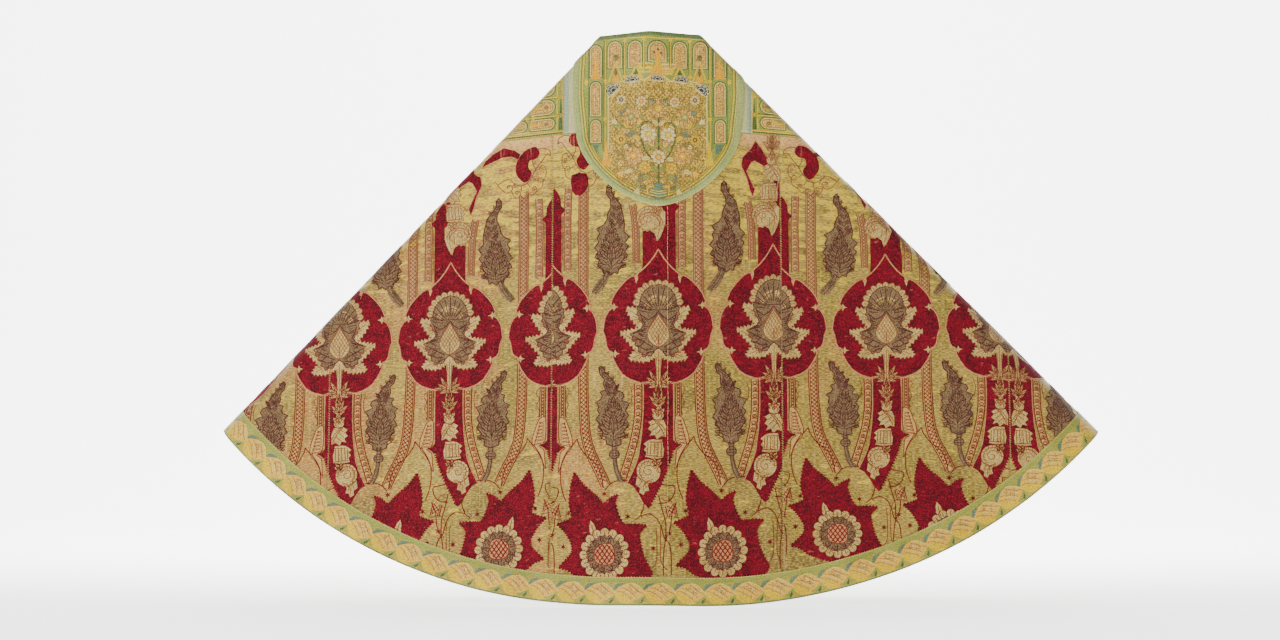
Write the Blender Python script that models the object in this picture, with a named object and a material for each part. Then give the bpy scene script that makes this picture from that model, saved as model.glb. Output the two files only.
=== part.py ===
"""Cope: a half-round church cloak of velvet, with orphreys, a shield hood and a banded hem.

The cloak is cut flat as half a disc, and its straight edge goes round the neck and down both
fronts. Worn, the cloth hangs as a hollow cone from a point just above the neck. So each piece
is cut flat here, given its thickness, and then draped on that cone without any stretch.

Flat cloth:  u runs across the loom and v down from the straight edge, with u = 0 at its middle.
Worn:        +X is the wearer's right, -Y the back, +Z up, and the origin is at the neck edge.
"""

import math

import bmesh
import bpy
from mathutils import Matrix, Vector

# ---------------------------------------------------------------- driving sizes, in metres
CUT_RADIUS = 1.512  # of the half disc, from the middle of its straight edge to the hem
LOOM_WIDTH = 0.597  # of the velvet
NAPE_SEAM = -0.282  # u of the seam just left of the nape
ORPHREY_WIDTH = 0.252
HEM_BAND_WIDTH = 0.072
NECK_PANEL_LEFT = -0.254  # the plain silk behind the hood, between the orphreys
NECK_PANEL_RIGHT = 0.240
HOOD_CENTRE = -0.004  # u of the hood's centre line
HOOD_HALF_WIDTH = 0.215
HOOD_STRAIGHT = 0.260  # length of its straight sides
HOOD_LENGTH = 0.469  # down to its rounded point
HOOD_ROUNDNESS = 1.55  # 1 would be a straight-sided point and 2 an ellipse
HOOD_RIBBON_WIDTH = 0.016
NECK_RIBBON_WIDTH = 0.012

CLOTH = 0.0020  # thickness of velvet, orphreys and hood, with their linen
BAND = 0.0015  # of the hem band
RIBBON = 0.0010
SEAM = 0.0003  # left between pieces, side by side or one on the other

# ---------------------------------------------------------------- the form it is worn in
CONE_X = -0.014  # where the cone's point is, from the neck edge
CONE_Z = 0.116
CONE_U = -0.026  # and where it lies on the flat cloth
CONE_V = -0.121

# The cone's outline one metre under its point, seen from above: its corners, and the radius
# that rounds each. Each front has soft flutes, and ends where the cloth ends.
SECTION = (
    # place, across, forward, radius
    ("left front, past its edge", 0.10, 0.150, 0.0),
    ("left front, inner flute", -0.10, 0.170, 0.12),
    ("left front, inner hollow", -0.26, 0.138, 0.12),
    ("left front, outer flute", -0.43, 0.170, 0.16),
    ("left front, outer hollow", -0.62, 0.132, 0.20),
    ("left fold, front", -0.958, 0.140, 0.068),
    ("left fold, back", -0.958, 0.0, 0.068),
    ("centre back", 0.0, -0.330, 0.22),
    ("right fold, back", 1.005, -0.060, 0.075),
    ("right fold, front", 1.005, 0.100, 0.075),
    ("right front, outer hollow", 0.66, 0.120, 0.20),
    ("right front, outer flute", 0.47, 0.164, 0.16),
    ("right front, inner hollow", 0.29, 0.130, 0.12),
    ("right front, inner flute", 0.12, 0.162, 0.12),
    ("right front, past its edge", -0.10, 0.140, 0.0),
)
ARC_STEP = math.radians(12)  # largest turn of the outline between two facets
FACET_WIDTH = math.radians(3.2)  # of the widest facet, seen from the cone's point
SAME_ANGLE = 1e-4  # two angles closer than this count as one
TOUCHING = 1e-6  # a line this near a corner passes through it

FINISHES = {
    # name: colour (linear), roughness, metallic
    "velvet": ((0.330, 0.130, 0.062), 0.62, 0.10),
    "orphrey_silk": ((0.450, 0.330, 0.120), 0.55, 0.15),
    "neck_silk": ((0.330, 0.360, 0.290), 0.50, 0.0),
    "hood_silk": ((0.480, 0.350, 0.130), 0.55, 0.15),
    "hood_ribbon_silk": ((0.330, 0.370, 0.210), 0.45, 0.0),
    "neck_ribbon_silk": ((0.120, 0.180, 0.080), 0.50, 0.0),
    "hem_silk": ((0.430, 0.330, 0.120), 0.50, 0.10),
}


# ---------------------------------------------------------------- the cone
def rounded(corners):
    """The outline through corners (across, forward, radius), with an arc at each inner one."""
    outline = [Vector(corners[0][:2])]
    for before, corner, after in zip(corners, corners[1:], corners[2:]):
        tip = Vector(corner[:2])
        back = (Vector(before[:2]) - tip).normalized()
        on = (Vector(after[:2]) - tip).normalized()
        half = back.angle(on) / 2
        reach = corner[2] / math.tan(half)
        centre = tip + (back + on).normalized() * corner[2] / math.sin(half)
        start, end = tip + back * reach - centre, tip + on * reach - centre
        turn = start.angle_signed(end)
        steps = max(2, math.ceil(abs(turn) / ARC_STEP))
        for step in range(steps + 1):
            outline.append(centre + Matrix.Rotation(-turn * step / steps, 2) @ start)
    outline.append(Vector(corners[-1][:2]))
    return outline


def ray(point):
    """Direction from the cone's point to a point of its outline."""
    return Vector((point.x, point.y, -1.0)).normalized()


def fold_lines(outline):
    """Directions of the lines that part the cone's flat facets."""
    lines = [ray(outline[0])]
    for start, end in zip(outline, outline[1:]):
        steps = max(1, math.ceil(ray(start).angle(ray(end)) / FACET_WIDTH))
        lines += [ray(start.lerp(end, (step + 1) / steps)) for step in range(steps)]
    return lines


def flat_angles(lines):
    """Angle of each fold line on the flat cloth, from the one straight under the point."""
    angles = [0.0]
    for one, other in zip(lines, lines[1:]):
        angles.append(angles[-1] + one.angle(other))
    for line, other, angle in zip(lines, lines[1:], angles):
        if line.x <= 0 < other.x and line.y < 0:
            zero = angle + line.angle(line.lerp(other, line.x / (line.x - other.x)))
    return [angle - zero for angle in angles]


def mitres(lines):
    """How far each fold line moves when the cloth's face moves out by one."""
    faces = [one.cross(other).normalized() for one, other in zip(lines, lines[1:])]
    shared = [(one + other) / (1 + one.dot(other)) for one, other in zip(faces, faces[1:])]
    return [faces[0], *shared, faces[-1]]


LINES = fold_lines(rounded([row[1:] for row in SECTION]))
ANGLES = flat_angles(LINES)
MITRES = mitres(LINES)
POINT = Vector((CONE_X, 0.0, CONE_Z))


def drape(u, v, height):
    """Where a point of the flat cloth lies when worn, at a height above the lining face."""
    across, down = u - CONE_U, v - CONE_V
    angle = math.atan2(across, down)
    facet = sum(1 for line_angle in ANGLES[1:-1] if line_angle <= angle)
    width = ANGLES[facet + 1] - ANGLES[facet]
    past = angle - ANGLES[facet]
    one, other = math.sin(width - past), math.sin(past)
    along = math.hypot(across, down) / math.sin(width)
    place = along * (one * LINES[facet] + other * LINES[facet + 1])
    out = (one * MITRES[facet] + other * MITRES[facet + 1]) / (one + other)
    return POINT + place + height * out


# ---------------------------------------------------------------- flat cutting
def turned(point):
    """Angle on the flat cloth of a point (u, v), seen from the cone's point."""
    return math.atan2(point[0] - CONE_U, point[1] - CONE_V)


def on_circle(angle, radius):
    """Where the line at an angle from the cone's point meets the circle of a radius."""
    way = Vector((math.sin(angle), math.cos(angle)))
    point = Vector((CONE_U, CONE_V))
    near = point.dot(way)
    return point + way * (math.sqrt(near * near - point.dot(point) + radius * radius) - near)


def arc(start, end, radius):
    """Points along a circle from start to end, one for each fold line passed."""
    low, high = sorted((turned(start), turned(end)))
    passed = [a for a in ANGLES if low + SAME_ANGLE < a < high - SAME_ANGLE]
    if turned(start) > turned(end):
        passed.reverse()
    return [start, *(tuple(on_circle(angle, radius)) for angle in passed), end]


def hem(u, radius):
    """The point of the circle of a radius that lies at u."""
    return (u, math.sqrt(radius * radius - u * u))


def crossings(outline, angle):
    """The nearest and furthest points of an outline on the line at an angle."""
    way = Vector((math.sin(angle), math.cos(angle)))
    point = Vector((CONE_U, CONE_V))
    along = []
    for start, end in zip(outline, outline[1:] + outline[:1]):
        one, other = Vector(start) - point, Vector(end) - point
        aside, aside_end = way.cross(one), way.cross(other)
        if min(aside, aside_end) <= TOUCHING and max(aside, aside_end) >= -TOUCHING:
            share = aside / (aside - aside_end) if aside != aside_end else 0.0
            along.append(way.dot(one.lerp(other, min(1.0, max(0.0, share)))))
    return point + way * min(along), point + way * max(along)


def columns(outline):
    """Angles at which a piece is creased: its own corners and the fold lines it crosses."""
    corners = sorted(turned(point) for point in outline)
    angles = [a for a in ANGLES if corners[0] < a < corners[-1]]
    for corner in corners:
        if all(abs(corner - angle) > SAME_ANGLE for angle in angles):
            angles.append(corner)
    return sorted(angles)


def cut(outline, thickness):
    """A flat plate of the outline's shape, creased where the fold lines will come."""
    plate = bmesh.new()
    edges = []
    for angle in columns(outline):
        near, far = crossings(outline, angle)
        ends = [plate.verts.new((*near, 0.0))]
        if (far - near).length > SAME_ANGLE:
            ends.append(plate.verts.new((*far, 0.0)))
        edges.append(ends)
    for one, other in zip(edges, edges[1:]):
        plate.faces.new([*one, *reversed(other)])
    top = bmesh.ops.extrude_face_region(plate, geom=plate.faces[:], use_keep_orig=True)
    for vert in top["geom"]:
        if isinstance(vert, bmesh.types.BMVert):
            vert.co.z = thickness
    return plate


# ---------------------------------------------------------------- pieces
def finish(name):
    """The material of a kind of cloth."""
    material = bpy.data.materials.get(name) or bpy.data.materials.new(name)
    colour, roughness, metallic = FINISHES[name]
    material.use_nodes = True
    shader = material.node_tree.nodes["Principled BSDF"]
    shader.inputs["Base Color"].default_value = (*colour, 1.0)
    shader.inputs["Roughness"].default_value = roughness
    shader.inputs["Metallic"].default_value = metallic
    return material


def piece(name, outline, height, thickness, cloth):
    """One piece of cloth, cut flat to its outline and draped at a height on the cone."""
    plate = cut(outline, thickness)
    for vert in plate.verts:
        vert.co = drape(vert.co.x, vert.co.y, height + vert.co.z)
    bmesh.ops.recalc_face_normals(plate, faces=plate.faces[:])
    mesh = bpy.data.meshes.new(name)
    plate.to_mesh(mesh)
    plate.free()
    mesh.materials.append(finish(cloth))
    made = bpy.data.objects.new(name, mesh)
    bpy.data.collections["cope"].objects.link(made)
    return made


def velvet_widths():
    """The five loom widths, seamed side by side below the orphreys."""
    top = ORPHREY_WIDTH + SEAM / 2
    end = math.sqrt(CUT_RADIUS**2 - top**2)
    seams = [NAPE_SEAM + LOOM_WIDTH * number for number in (-1, 0, 1, 2)]
    borders = [-end, *seams, end]
    names = ("far_left", "left", "centre", "right", "far_right")
    for name, low, high in zip(names, borders, borders[1:]):
        left, right = low + SEAM / 2, high - SEAM / 2
        if low == -end:
            left = low
        if high == end:
            right = high
        bottom = arc(hem(right, CUT_RADIUS), hem(left, CUT_RADIUS), CUT_RADIUS)
        corners = [(left, top), (right, top), *bottom]
        if name == "far_left":
            corners.pop(0)
        if name == "far_right":
            corners.pop(1)
        piece(f"velvet_{name}", corners, 0.0, CLOTH, "velvet")


def neck_band():
    """The band along the straight edge: plain silk at the nape and an orphrey down each front."""
    low = ORPHREY_WIDTH - SEAM / 2
    bottom = math.sqrt(CUT_RADIUS**2 - low**2)
    for side, inner in (("left", NECK_PANEL_LEFT), ("right", NECK_PANEL_RIGHT)):
        sign = math.copysign(1, inner)
        start = inner + sign * SEAM / 2
        end = arc((sign * CUT_RADIUS, 0.0), (sign * bottom, low), CUT_RADIUS)
        corners = [(start, 0.0), *end, (start, low)]
        piece(f"orphrey_{side}", corners, 0.0, CLOTH, "orphrey_silk")
    left, right = NECK_PANEL_LEFT + SEAM / 2, NECK_PANEL_RIGHT - SEAM / 2
    panel = [(left, 0.0), (right, 0.0), (right, low), (left, low)]
    piece("neck_panel", panel, 0.0, CLOTH, "neck_silk")


def shield(inset):
    """The hood's outline without its top edge, from the right round the point to the left."""
    half, drop = HOOD_HALF_WIDTH - inset, HOOD_LENGTH - HOOD_STRAIGHT - inset
    curve = []
    for step in range(-9, 10):
        turn = math.radians(10 * step)
        across = math.copysign(abs(math.sin(turn)) ** (2 / HOOD_ROUNDNESS), -turn)
        down = math.cos(turn) ** (2 / HOOD_ROUNDNESS)
        curve.append((HOOD_CENTRE + half * across, HOOD_STRAIGHT + drop * down))
    return curve


def hood():
    """The shield-shaped hood over the nape, with a ribbon round it and one along its top."""
    low = CLOTH + SEAM
    left, right = HOOD_CENTRE - HOOD_HALF_WIDTH, HOOD_CENTRE + HOOD_HALF_WIDTH
    piece("hood", [(left, 0.0), (right, 0.0), *shield(0.0)], low, CLOTH, "hood_silk")

    high = low + CLOTH + SEAM
    inner = shield(HOOD_RIBBON_WIDTH)
    border = [(right, 0.0), *shield(0.0), (left, 0.0)]
    border += [(inner[-1][0], 0.0), *reversed(inner), (inner[0][0], 0.0)]
    piece("hood_ribbon", border, high, RIBBON, "hood_ribbon_silk")

    ends = (inner[-1][0] + SEAM, inner[0][0] - SEAM)
    strip = [(u, 0.0) for u in ends] + [(u, NECK_RIBBON_WIDTH) for u in reversed(ends)]
    piece("neck_ribbon", strip, high, RIBBON, "neck_ribbon_silk")


def hem_band():
    """The band along the hem, laid on the velvet from one orphrey to the other."""
    top, inner = ORPHREY_WIDTH + SEAM / 2, CUT_RADIUS - HEM_BAND_WIDTH
    far, near = (math.sqrt(radius**2 - top**2) for radius in (CUT_RADIUS, inner))
    outer_edge = arc((far, top), (-far, top), CUT_RADIUS)
    inner_edge = arc((-near, top), (near, top), inner)
    piece("hem_band", outer_edge + inner_edge, CLOTH + SEAM, BAND, "hem_silk")


for old in list(bpy.data.objects):
    bpy.data.objects.remove(old, do_unlink=True)
bpy.context.scene.collection.children.link(bpy.data.collections.new("cope"))
velvet_widths()
neck_band()
hood()
hem_band()
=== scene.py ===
import math

import bmesh
import bpy
import numpy as np
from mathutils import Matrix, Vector
from mathutils.geometry import delaunay_2d_cdt


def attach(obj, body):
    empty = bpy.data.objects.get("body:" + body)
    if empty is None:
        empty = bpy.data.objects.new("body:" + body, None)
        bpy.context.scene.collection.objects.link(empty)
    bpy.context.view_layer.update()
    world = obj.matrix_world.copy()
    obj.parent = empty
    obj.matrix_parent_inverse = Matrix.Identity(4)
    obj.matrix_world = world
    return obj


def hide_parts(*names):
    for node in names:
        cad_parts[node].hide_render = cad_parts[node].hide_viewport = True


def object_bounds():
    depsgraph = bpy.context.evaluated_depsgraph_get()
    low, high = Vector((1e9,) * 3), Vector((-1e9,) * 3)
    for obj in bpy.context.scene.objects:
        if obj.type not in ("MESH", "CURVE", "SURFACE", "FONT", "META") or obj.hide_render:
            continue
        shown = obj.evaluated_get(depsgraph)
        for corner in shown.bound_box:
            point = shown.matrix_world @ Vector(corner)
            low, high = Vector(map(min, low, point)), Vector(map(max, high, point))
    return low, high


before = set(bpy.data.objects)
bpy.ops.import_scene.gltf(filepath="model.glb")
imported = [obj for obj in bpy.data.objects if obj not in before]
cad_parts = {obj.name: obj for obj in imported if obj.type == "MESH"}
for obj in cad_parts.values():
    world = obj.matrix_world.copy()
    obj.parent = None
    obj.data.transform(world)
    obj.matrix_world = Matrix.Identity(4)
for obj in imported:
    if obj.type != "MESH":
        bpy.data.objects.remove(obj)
CAD_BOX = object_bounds()

# ==== Room ====================================================================================
# A pale floor that curves up behind the cope, soft light that is stronger from the left, and a
# long lens held level at the back of the cope.
ROOM_WHITE = (0.90, 0.90, 0.895)
FLOOR_HEIGHT = CAD_BOX[0].z - 0.004
VIEW_CENTRE = (-0.038, -0.733)  # across and up
VIEW_WIDTH = 3.264
VIEW_DISTANCE = 16.0
FLOOR_REACH = 20.0  # to each side, and towards the camera
CURVE_START, CURVE_RADIUS, WALL_TOP = 5.0, 4.0, 12.0

scene = bpy.context.scene
world = bpy.data.worlds.new("soft_daylight")
world.use_nodes = True
sky = world.node_tree.nodes["Background"]
sky.inputs["Color"].default_value = (1.0, 1.0, 1.0, 1.0)
sky.inputs["Strength"].default_value = 0.36
scene.world = world

room = bmesh.new()
profile = [(-FLOOR_REACH, 0.0), (CURVE_START, 0.0)]
profile += [(CURVE_START + CURVE_RADIUS * math.sin(turn), CURVE_RADIUS - CURVE_RADIUS * math.cos(turn))
            for turn in np.linspace(0.1, math.pi / 2, 12)]
profile.append((CURVE_START + CURVE_RADIUS, WALL_TOP))
rows = [[room.verts.new((x, y, FLOOR_HEIGHT + z)) for x in (-FLOOR_REACH, FLOOR_REACH)] for y, z in profile]
for one, other in zip(rows, rows[1:]):
    room.faces.new((one[0], one[1], other[1], other[0])).smooth = True
floor_mesh = bpy.data.meshes.new("floor")
room.to_mesh(floor_mesh)
room.free()
paint = bpy.data.materials.new("pale_floor_paint")
paint.use_nodes = True
nodes, links = paint.node_tree.nodes, paint.node_tree.links
for title, value in (("Base Color", (*ROOM_WHITE, 1.0)), ("Roughness", 0.9),
                     ("Emission Color", (1.0, 1.0, 1.0, 1.0)), ("Emission Strength", 2.3)):
    nodes["Principled BSDF"].inputs[title].default_value = value
# the backdrop is painted on one side only, so the cope's front can be looked at through it
one_sided, side = nodes.new("ShaderNodeMixShader"), nodes.new("ShaderNodeNewGeometry")
links.new(side.outputs["Backfacing"], one_sided.inputs["Fac"])
links.new(nodes["Principled BSDF"].outputs["BSDF"], one_sided.inputs[1])
links.new(nodes.new("ShaderNodeBsdfTransparent").outputs["BSDF"], one_sided.inputs[2])
links.new(one_sided.outputs["Shader"], nodes["Material Output"].inputs["Surface"])
floor_mesh.materials.append(paint)
floor = bpy.data.objects.new("floor", floor_mesh)
scene.collection.objects.link(floor)


def soft_light(name, place, aim, size, power):
    """A large soft area light at a place, turned to its aim."""
    lamp = bpy.data.lights.new(name, "AREA")
    lamp.shape = "DISK"
    lamp.size = size
    lamp.energy = power
    holder = bpy.data.objects.new(name, lamp)
    holder.location = place
    holder.rotation_euler = (Vector(aim) - Vector(place)).to_track_quat("-Z", "Y").to_euler()
    scene.collection.objects.link(holder)


soft_light("key_light", (-8.0, -8.0, 3.6), (0.0, 0.0, -0.7), 2.6, 800.0)
soft_light("fill_light", (6.0, -9.0, 1.5), (0.0, 0.0, -0.7), 5.0, 60.0)
soft_light("front_light", (3.0, 7.0, 4.5), (0.0, 0.0, -0.9), 4.0, 130.0)
soft_light("backdrop_light", (0.0, 2.4, 3.4), (0.0, 8.6, 0.2), 5.0, 1600.0)

lens = bpy.data.cameras.new("long_lens")
lens.sensor_width = 36.0
lens.lens = 36.0 * VIEW_DISTANCE / VIEW_WIDTH
lens.clip_end = 100.0
camera = bpy.data.objects.new("camera", lens)
camera.location = (VIEW_CENTRE[0], -VIEW_DISTANCE, VIEW_CENTRE[1])
camera.rotation_euler = (math.pi / 2, 0.0, 0.0)
scene.collection.objects.link(camera)
scene.camera = camera

# ==== Velvet ground ===========================================================================
# Five loom widths of gold-ground velvet, seamed side by side and cut to half a disc. Worn, the
# cloth hangs as a cone from a point above the neck. Flat, u runs across it and v down it.
CUT_RADIUS = 1.512
LOOM_WIDTH = 0.597
NAPE_SEAM = -0.282
TOP_EDGE = 0.252  # v at which the velvet meets the orphreys
BAND_EDGE = 1.440  # radius of the hem band's inner edge
CLOTH = 0.0020
CLOTH_STEP = 0.0106  # the longest side of the cloth's triangles, about
SEAM = 0.0003
CONE_X, CONE_Z = -0.014, 0.116
CONE_U, CONE_V = -0.026, -0.121
SECTION = (
    # the cone's outline one metre under its point: across, forward, radius of the corner
    (0.10, 0.150, 0.0),
    (-0.10, 0.170, 0.12),
    (-0.26, 0.138, 0.12),
    (-0.43, 0.170, 0.16),
    (-0.62, 0.132, 0.20),
    (-0.958, 0.140, 0.068),
    (-0.958, 0.0, 0.068),
    (0.0, -0.330, 0.22),
    (1.005, -0.060, 0.075),
    (1.005, 0.100, 0.075),
    (0.66, 0.120, 0.20),
    (0.47, 0.164, 0.16),
    (0.29, 0.130, 0.12),
    (0.12, 0.162, 0.12),
    (-0.10, 0.140, 0.0),
)
SOFT_FOLDS = (
    # turn round the cone's point in degrees, width in degrees, depth, start down the cloth
    (-38.0, 3.6, -0.0040, 0.75),
    (-29.0, 3.0, 0.0030, 0.90),
    (-17.0, 3.2, -0.0035, 0.70),
    (-8.0, 2.6, 0.0030, 0.80),
    (9.0, 3.0, -0.0035, 0.75),
    (19.0, 3.4, 0.0035, 0.85),
    (31.0, 3.0, -0.0040, 0.80),
    (41.0, 3.6, 0.0030, 0.90),
)


def heading(turn):
    """A step one long in the way that a turn points."""
    return np.array([math.cos(turn), math.sin(turn)])


def rounded_section(turn_step=math.radians(2.5), run_step=0.02):
    """Points along the cone's outline, with an arc at each inner corner."""
    corners = [np.array(row[:2]) for row in SECTION]
    outline = [corners[0]]
    for before, tip, after, row in zip(corners, corners[1:], corners[2:], SECTION[1:]):
        back = (before - tip) / np.linalg.norm(before - tip)
        on = (after - tip) / np.linalg.norm(after - tip)
        half = math.acos(back @ on) / 2
        middle = (back + on) / np.linalg.norm(back + on)
        centre = tip + middle * row[2] / math.sin(half)
        start = tip + back * row[2] / math.tan(half) - centre
        end = tip + on * row[2] / math.tan(half) - centre
        first, last = (math.atan2(arm[1], arm[0]) for arm in (start, end))
        turn = (last - first + math.pi) % (2 * math.pi) - math.pi
        for angle in np.linspace(first, first + turn, max(3, math.ceil(abs(turn) / turn_step))):
            outline.append(centre + row[2] * heading(angle))
    outline.append(corners[-1])
    dense = [outline[0]]
    for one, other in zip(outline, outline[1:]):
        steps = max(1, math.ceil(np.linalg.norm(other - one) / run_step))
        dense += [one + (other - one) * step / steps for step in range(1, steps + 1)]
    return np.array(dense)


def cone_lines():
    """Flat angle, direction and outward way of each line from the cone's point."""
    section = rounded_section()
    lines = np.column_stack([section, -np.ones(len(section))])
    lines /= np.linalg.norm(lines, axis=1)[:, None]
    between = np.arccos(np.clip((lines[:-1] * lines[1:]).sum(1), -1, 1))
    angles = np.concatenate([[0.0], np.cumsum(between)])
    behind = (lines[:-1, 0] <= 0) & (lines[1:, 0] > 0) & (lines[:-1, 1] < 0)
    at = int(np.argmax(behind))
    share = lines[at, 0] / (lines[at, 0] - lines[at + 1, 0])
    angles -= angles[at] + share * between[at]
    faces = np.cross(lines[:-1], lines[1:])
    faces /= np.linalg.norm(faces, axis=1)[:, None]
    out = np.vstack([faces[:1], faces[:-1] + faces[1:], faces[-1:]])
    return angles, lines, out / np.linalg.norm(out, axis=1)[:, None]


ANGLES, LINES, OUTWARD = cone_lines()


def drape(flat, height):
    """Where points (u, v) of the flat cloth lie when worn, at heights above the lining face."""
    across, down = flat[:, 0] - CONE_U, flat[:, 1] - CONE_V
    angle, along = np.arctan2(across, down), np.hypot(across, down)
    line = np.stack([np.interp(angle, ANGLES, LINES[:, axis]) for axis in range(3)], -1)
    out = np.stack([np.interp(angle, ANGLES, OUTWARD[:, axis]) for axis in range(3)], -1)
    line /= np.linalg.norm(line, axis=1)[:, None]
    out /= np.linalg.norm(out, axis=1)[:, None]
    lift = np.asarray(height, float) * np.ones(len(flat))
    for turn, width, depth, start in SOFT_FOLDS:
        grown = np.clip((along - start) / 0.5, 0.0, 1.0)
        bell = np.exp(-(((np.degrees(angle) - turn) / width) ** 2))
        lift = lift + depth * bell * grown * grown * (3 - 2 * grown)
    return np.array([CONE_X, 0.0, CONE_Z]) + along[:, None] * line + lift[:, None] * out


def inside(points, outline):
    """Which points lie inside a closed outline."""
    found = np.zeros(len(points), bool)
    for (x0, y0), (x1, y1) in zip(outline, np.roll(outline, -1, axis=0)):
        if y0 != y1:
            over = (y0 > points[:, 1]) != (y1 > points[:, 1])
            found ^= over & (points[:, 0] < (x1 - x0) * (points[:, 1] - y0) / (y1 - y0) + x0)
    return found


def clear_of(points, outline, gap):
    """Which points lie further than a gap from every side of an outline."""
    clear = np.ones(len(points), bool)
    for one, other in zip(outline, np.roll(outline, -1, axis=0)):
        side = other - one
        share = np.clip(((points - one) @ side) / max(side @ side, 1e-12), 0, 1)
        clear &= np.linalg.norm(points - one - share[:, None] * side, axis=1) > gap
    return clear


def cut_flat(outline, gap):
    """A closed outline cut out flat, as points and triangles no wider than about a gap."""
    outline = np.asarray(outline, float)
    low, high = outline.min(0), outline.max(0)
    rows = np.arange(low[1] + gap / 2, high[1], gap * 0.87)
    grid = [outline[:0]]
    for number, y in enumerate(rows):
        row = np.arange(low[0] + gap * (0.5 + 0.5 * (number % 2)), high[0], gap)
        grid.append(np.column_stack([row, np.full(len(row), y)]))
    points = np.vstack(grid)
    if len(points):
        points = points[inside(points, outline)]
    if len(points):
        points = points[clear_of(points, outline, gap * 0.4)]
    every = [Vector(point) for point in np.vstack([outline, points])]
    made = delaunay_2d_cdt(every, [], [list(range(len(outline)))], 1, 1e-7)
    return np.array([tuple(point) for point in made[0]]), np.array(made[2], int)


def open_edges(faces):
    """The edges that only one triangle has, in its direction."""
    edges = np.vstack([faces[:, [0, 1]], faces[:, [1, 2]], faces[:, [2, 0]]])
    key = np.sort(edges, axis=1)
    _, index, count = np.unique(key, axis=0, return_index=True, return_counts=True)
    return edges[index[count == 1]]


def cloth_object(name, flat, height, faces, silks, which=None):
    """A mesh of flat points at heights, draped, with its flat place in metres as its UV map."""
    mesh = bpy.data.meshes.new(name)
    mesh.from_pydata(drape(flat, height).tolist(), [], [tuple(face) for face in faces])
    layer = mesh.uv_layers.new(name="flat")
    corner = np.zeros(len(mesh.loops), int)
    mesh.loops.foreach_get("vertex_index", corner)
    layer.data.foreach_set("uv", flat[corner].astype(np.float32).ravel())
    for silk in silks:
        mesh.materials.append(silk)
    if which is not None:
        mesh.polygons.foreach_set("material_index", np.asarray(which, np.int32))
    mesh.polygons.foreach_set("use_smooth", np.ones(len(mesh.polygons), bool))
    mesh.validate()
    made = bpy.data.objects.new(name, mesh)
    scene.collection.objects.link(made)
    return made


def cloth_wall(name, outline, gap, low, high, face_silk, back_silk):
    """A piece of cloth as a closed thin wall: its face, its back and its cut edge."""
    flat, faces = cut_flat(outline, gap)
    count = len(flat)
    edge = open_edges(faces)
    rim = np.vstack([
        np.column_stack([edge[:, 0], edge[:, 1], edge[:, 1] + count]),
        np.column_stack([edge[:, 0], edge[:, 1] + count, edge[:, 0] + count]),
    ])
    every = np.vstack([faces[:, ::-1], faces + count, rim])
    which = np.concatenate([np.zeros(len(faces)), np.ones(len(faces)), np.zeros(len(rim))])
    height = np.concatenate([np.full(count, high), np.full(count, low)])
    made = cloth_object(name, np.vstack([flat, flat]), height, every, [face_silk, back_silk], which)
    return made, float(flat_area(flat, faces))


def flat_area(flat, faces):
    """The area of flat triangles."""
    one, two, three = (flat[faces[:, corner]] for corner in range(3))
    across, down = two - one, three - one
    return np.abs(across[:, 0] * down[:, 1] - across[:, 1] * down[:, 0]).sum() / 2


def dyed(red, green, blue):
    """A dye's colour from its 0 to 255 values."""
    shares = [value / 255 for value in (red, green, blue)]
    return (*[c / 12.92 if c < 0.04045 else ((c + 0.055) / 1.055) ** 2.4 for c in shares], 1.0)


def group_of(name, inputs, outputs, kind="ShaderNodeTree"):
    """An empty node group with named inputs and outputs."""
    group = bpy.data.node_groups.new(name, kind)
    for title, kind, value in inputs:
        socket = group.interface.new_socket(title, in_out="INPUT", socket_type=kind)
        if value is not None:
            socket.default_value = value
    for title, kind in outputs:
        group.interface.new_socket(title, in_out="OUTPUT", socket_type=kind)
    return group, group.nodes.new("NodeGroupInput"), group.nodes.new("NodeGroupOutput")


def joined(tree, rows):
    """Links each row's node and output to its other node and input, by name or number."""
    for one, out, other, into in rows:
        tree.links.new(one.outputs[out], other.inputs[into])


def maths(tree, operation, *values):
    """A math node, with values for its inputs from the second one on."""
    made = tree.nodes.new("ShaderNodeMath")
    made.operation = operation
    for at, value in enumerate(values, 1):
        made.inputs[at].default_value = value
    return made


def cloth_noise_group():
    """Soft noise on the flat cloth, with so many cells a metre across it and down it."""
    group, given, made = group_of("cloth_noise", (
        ("Place", "NodeSocketVector", None),
        ("Across", "NodeSocketFloat", 30.0),
        ("Down", "NodeSocketFloat", 30.0),
        ("Shift", "NodeSocketFloat", 0.0),
        ("Detail", "NodeSocketFloat", 3.0),
    ), [("Share", "NodeSocketFloat")])
    cells, moved = (group.nodes.new("ShaderNodeCombineXYZ") for _ in range(2))
    scaled, noise = group.nodes.new("ShaderNodeVectorMath"), group.nodes.new("ShaderNodeTexNoise")
    scaled.operation, noise.noise_dimensions = "MULTIPLY_ADD", "2D"
    noise.inputs["Scale"].default_value = 1.0
    noise.inputs["Roughness"].default_value = 0.55
    joined(group, (
        (given, "Across", cells, "X"),
        (given, "Down", cells, "Y"),
        (given, "Shift", moved, "X"),
        (given, "Shift", moved, "Y"),
        (given, "Place", scaled, 0),
        (cells, "Vector", scaled, 1),
        (moved, "Vector", scaled, 2),
        (scaled, "Vector", noise, "Vector"),
        (given, "Detail", noise, "Detail"),
        (noise, "Fac", made, "Share"),
    ))
    return group


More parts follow.
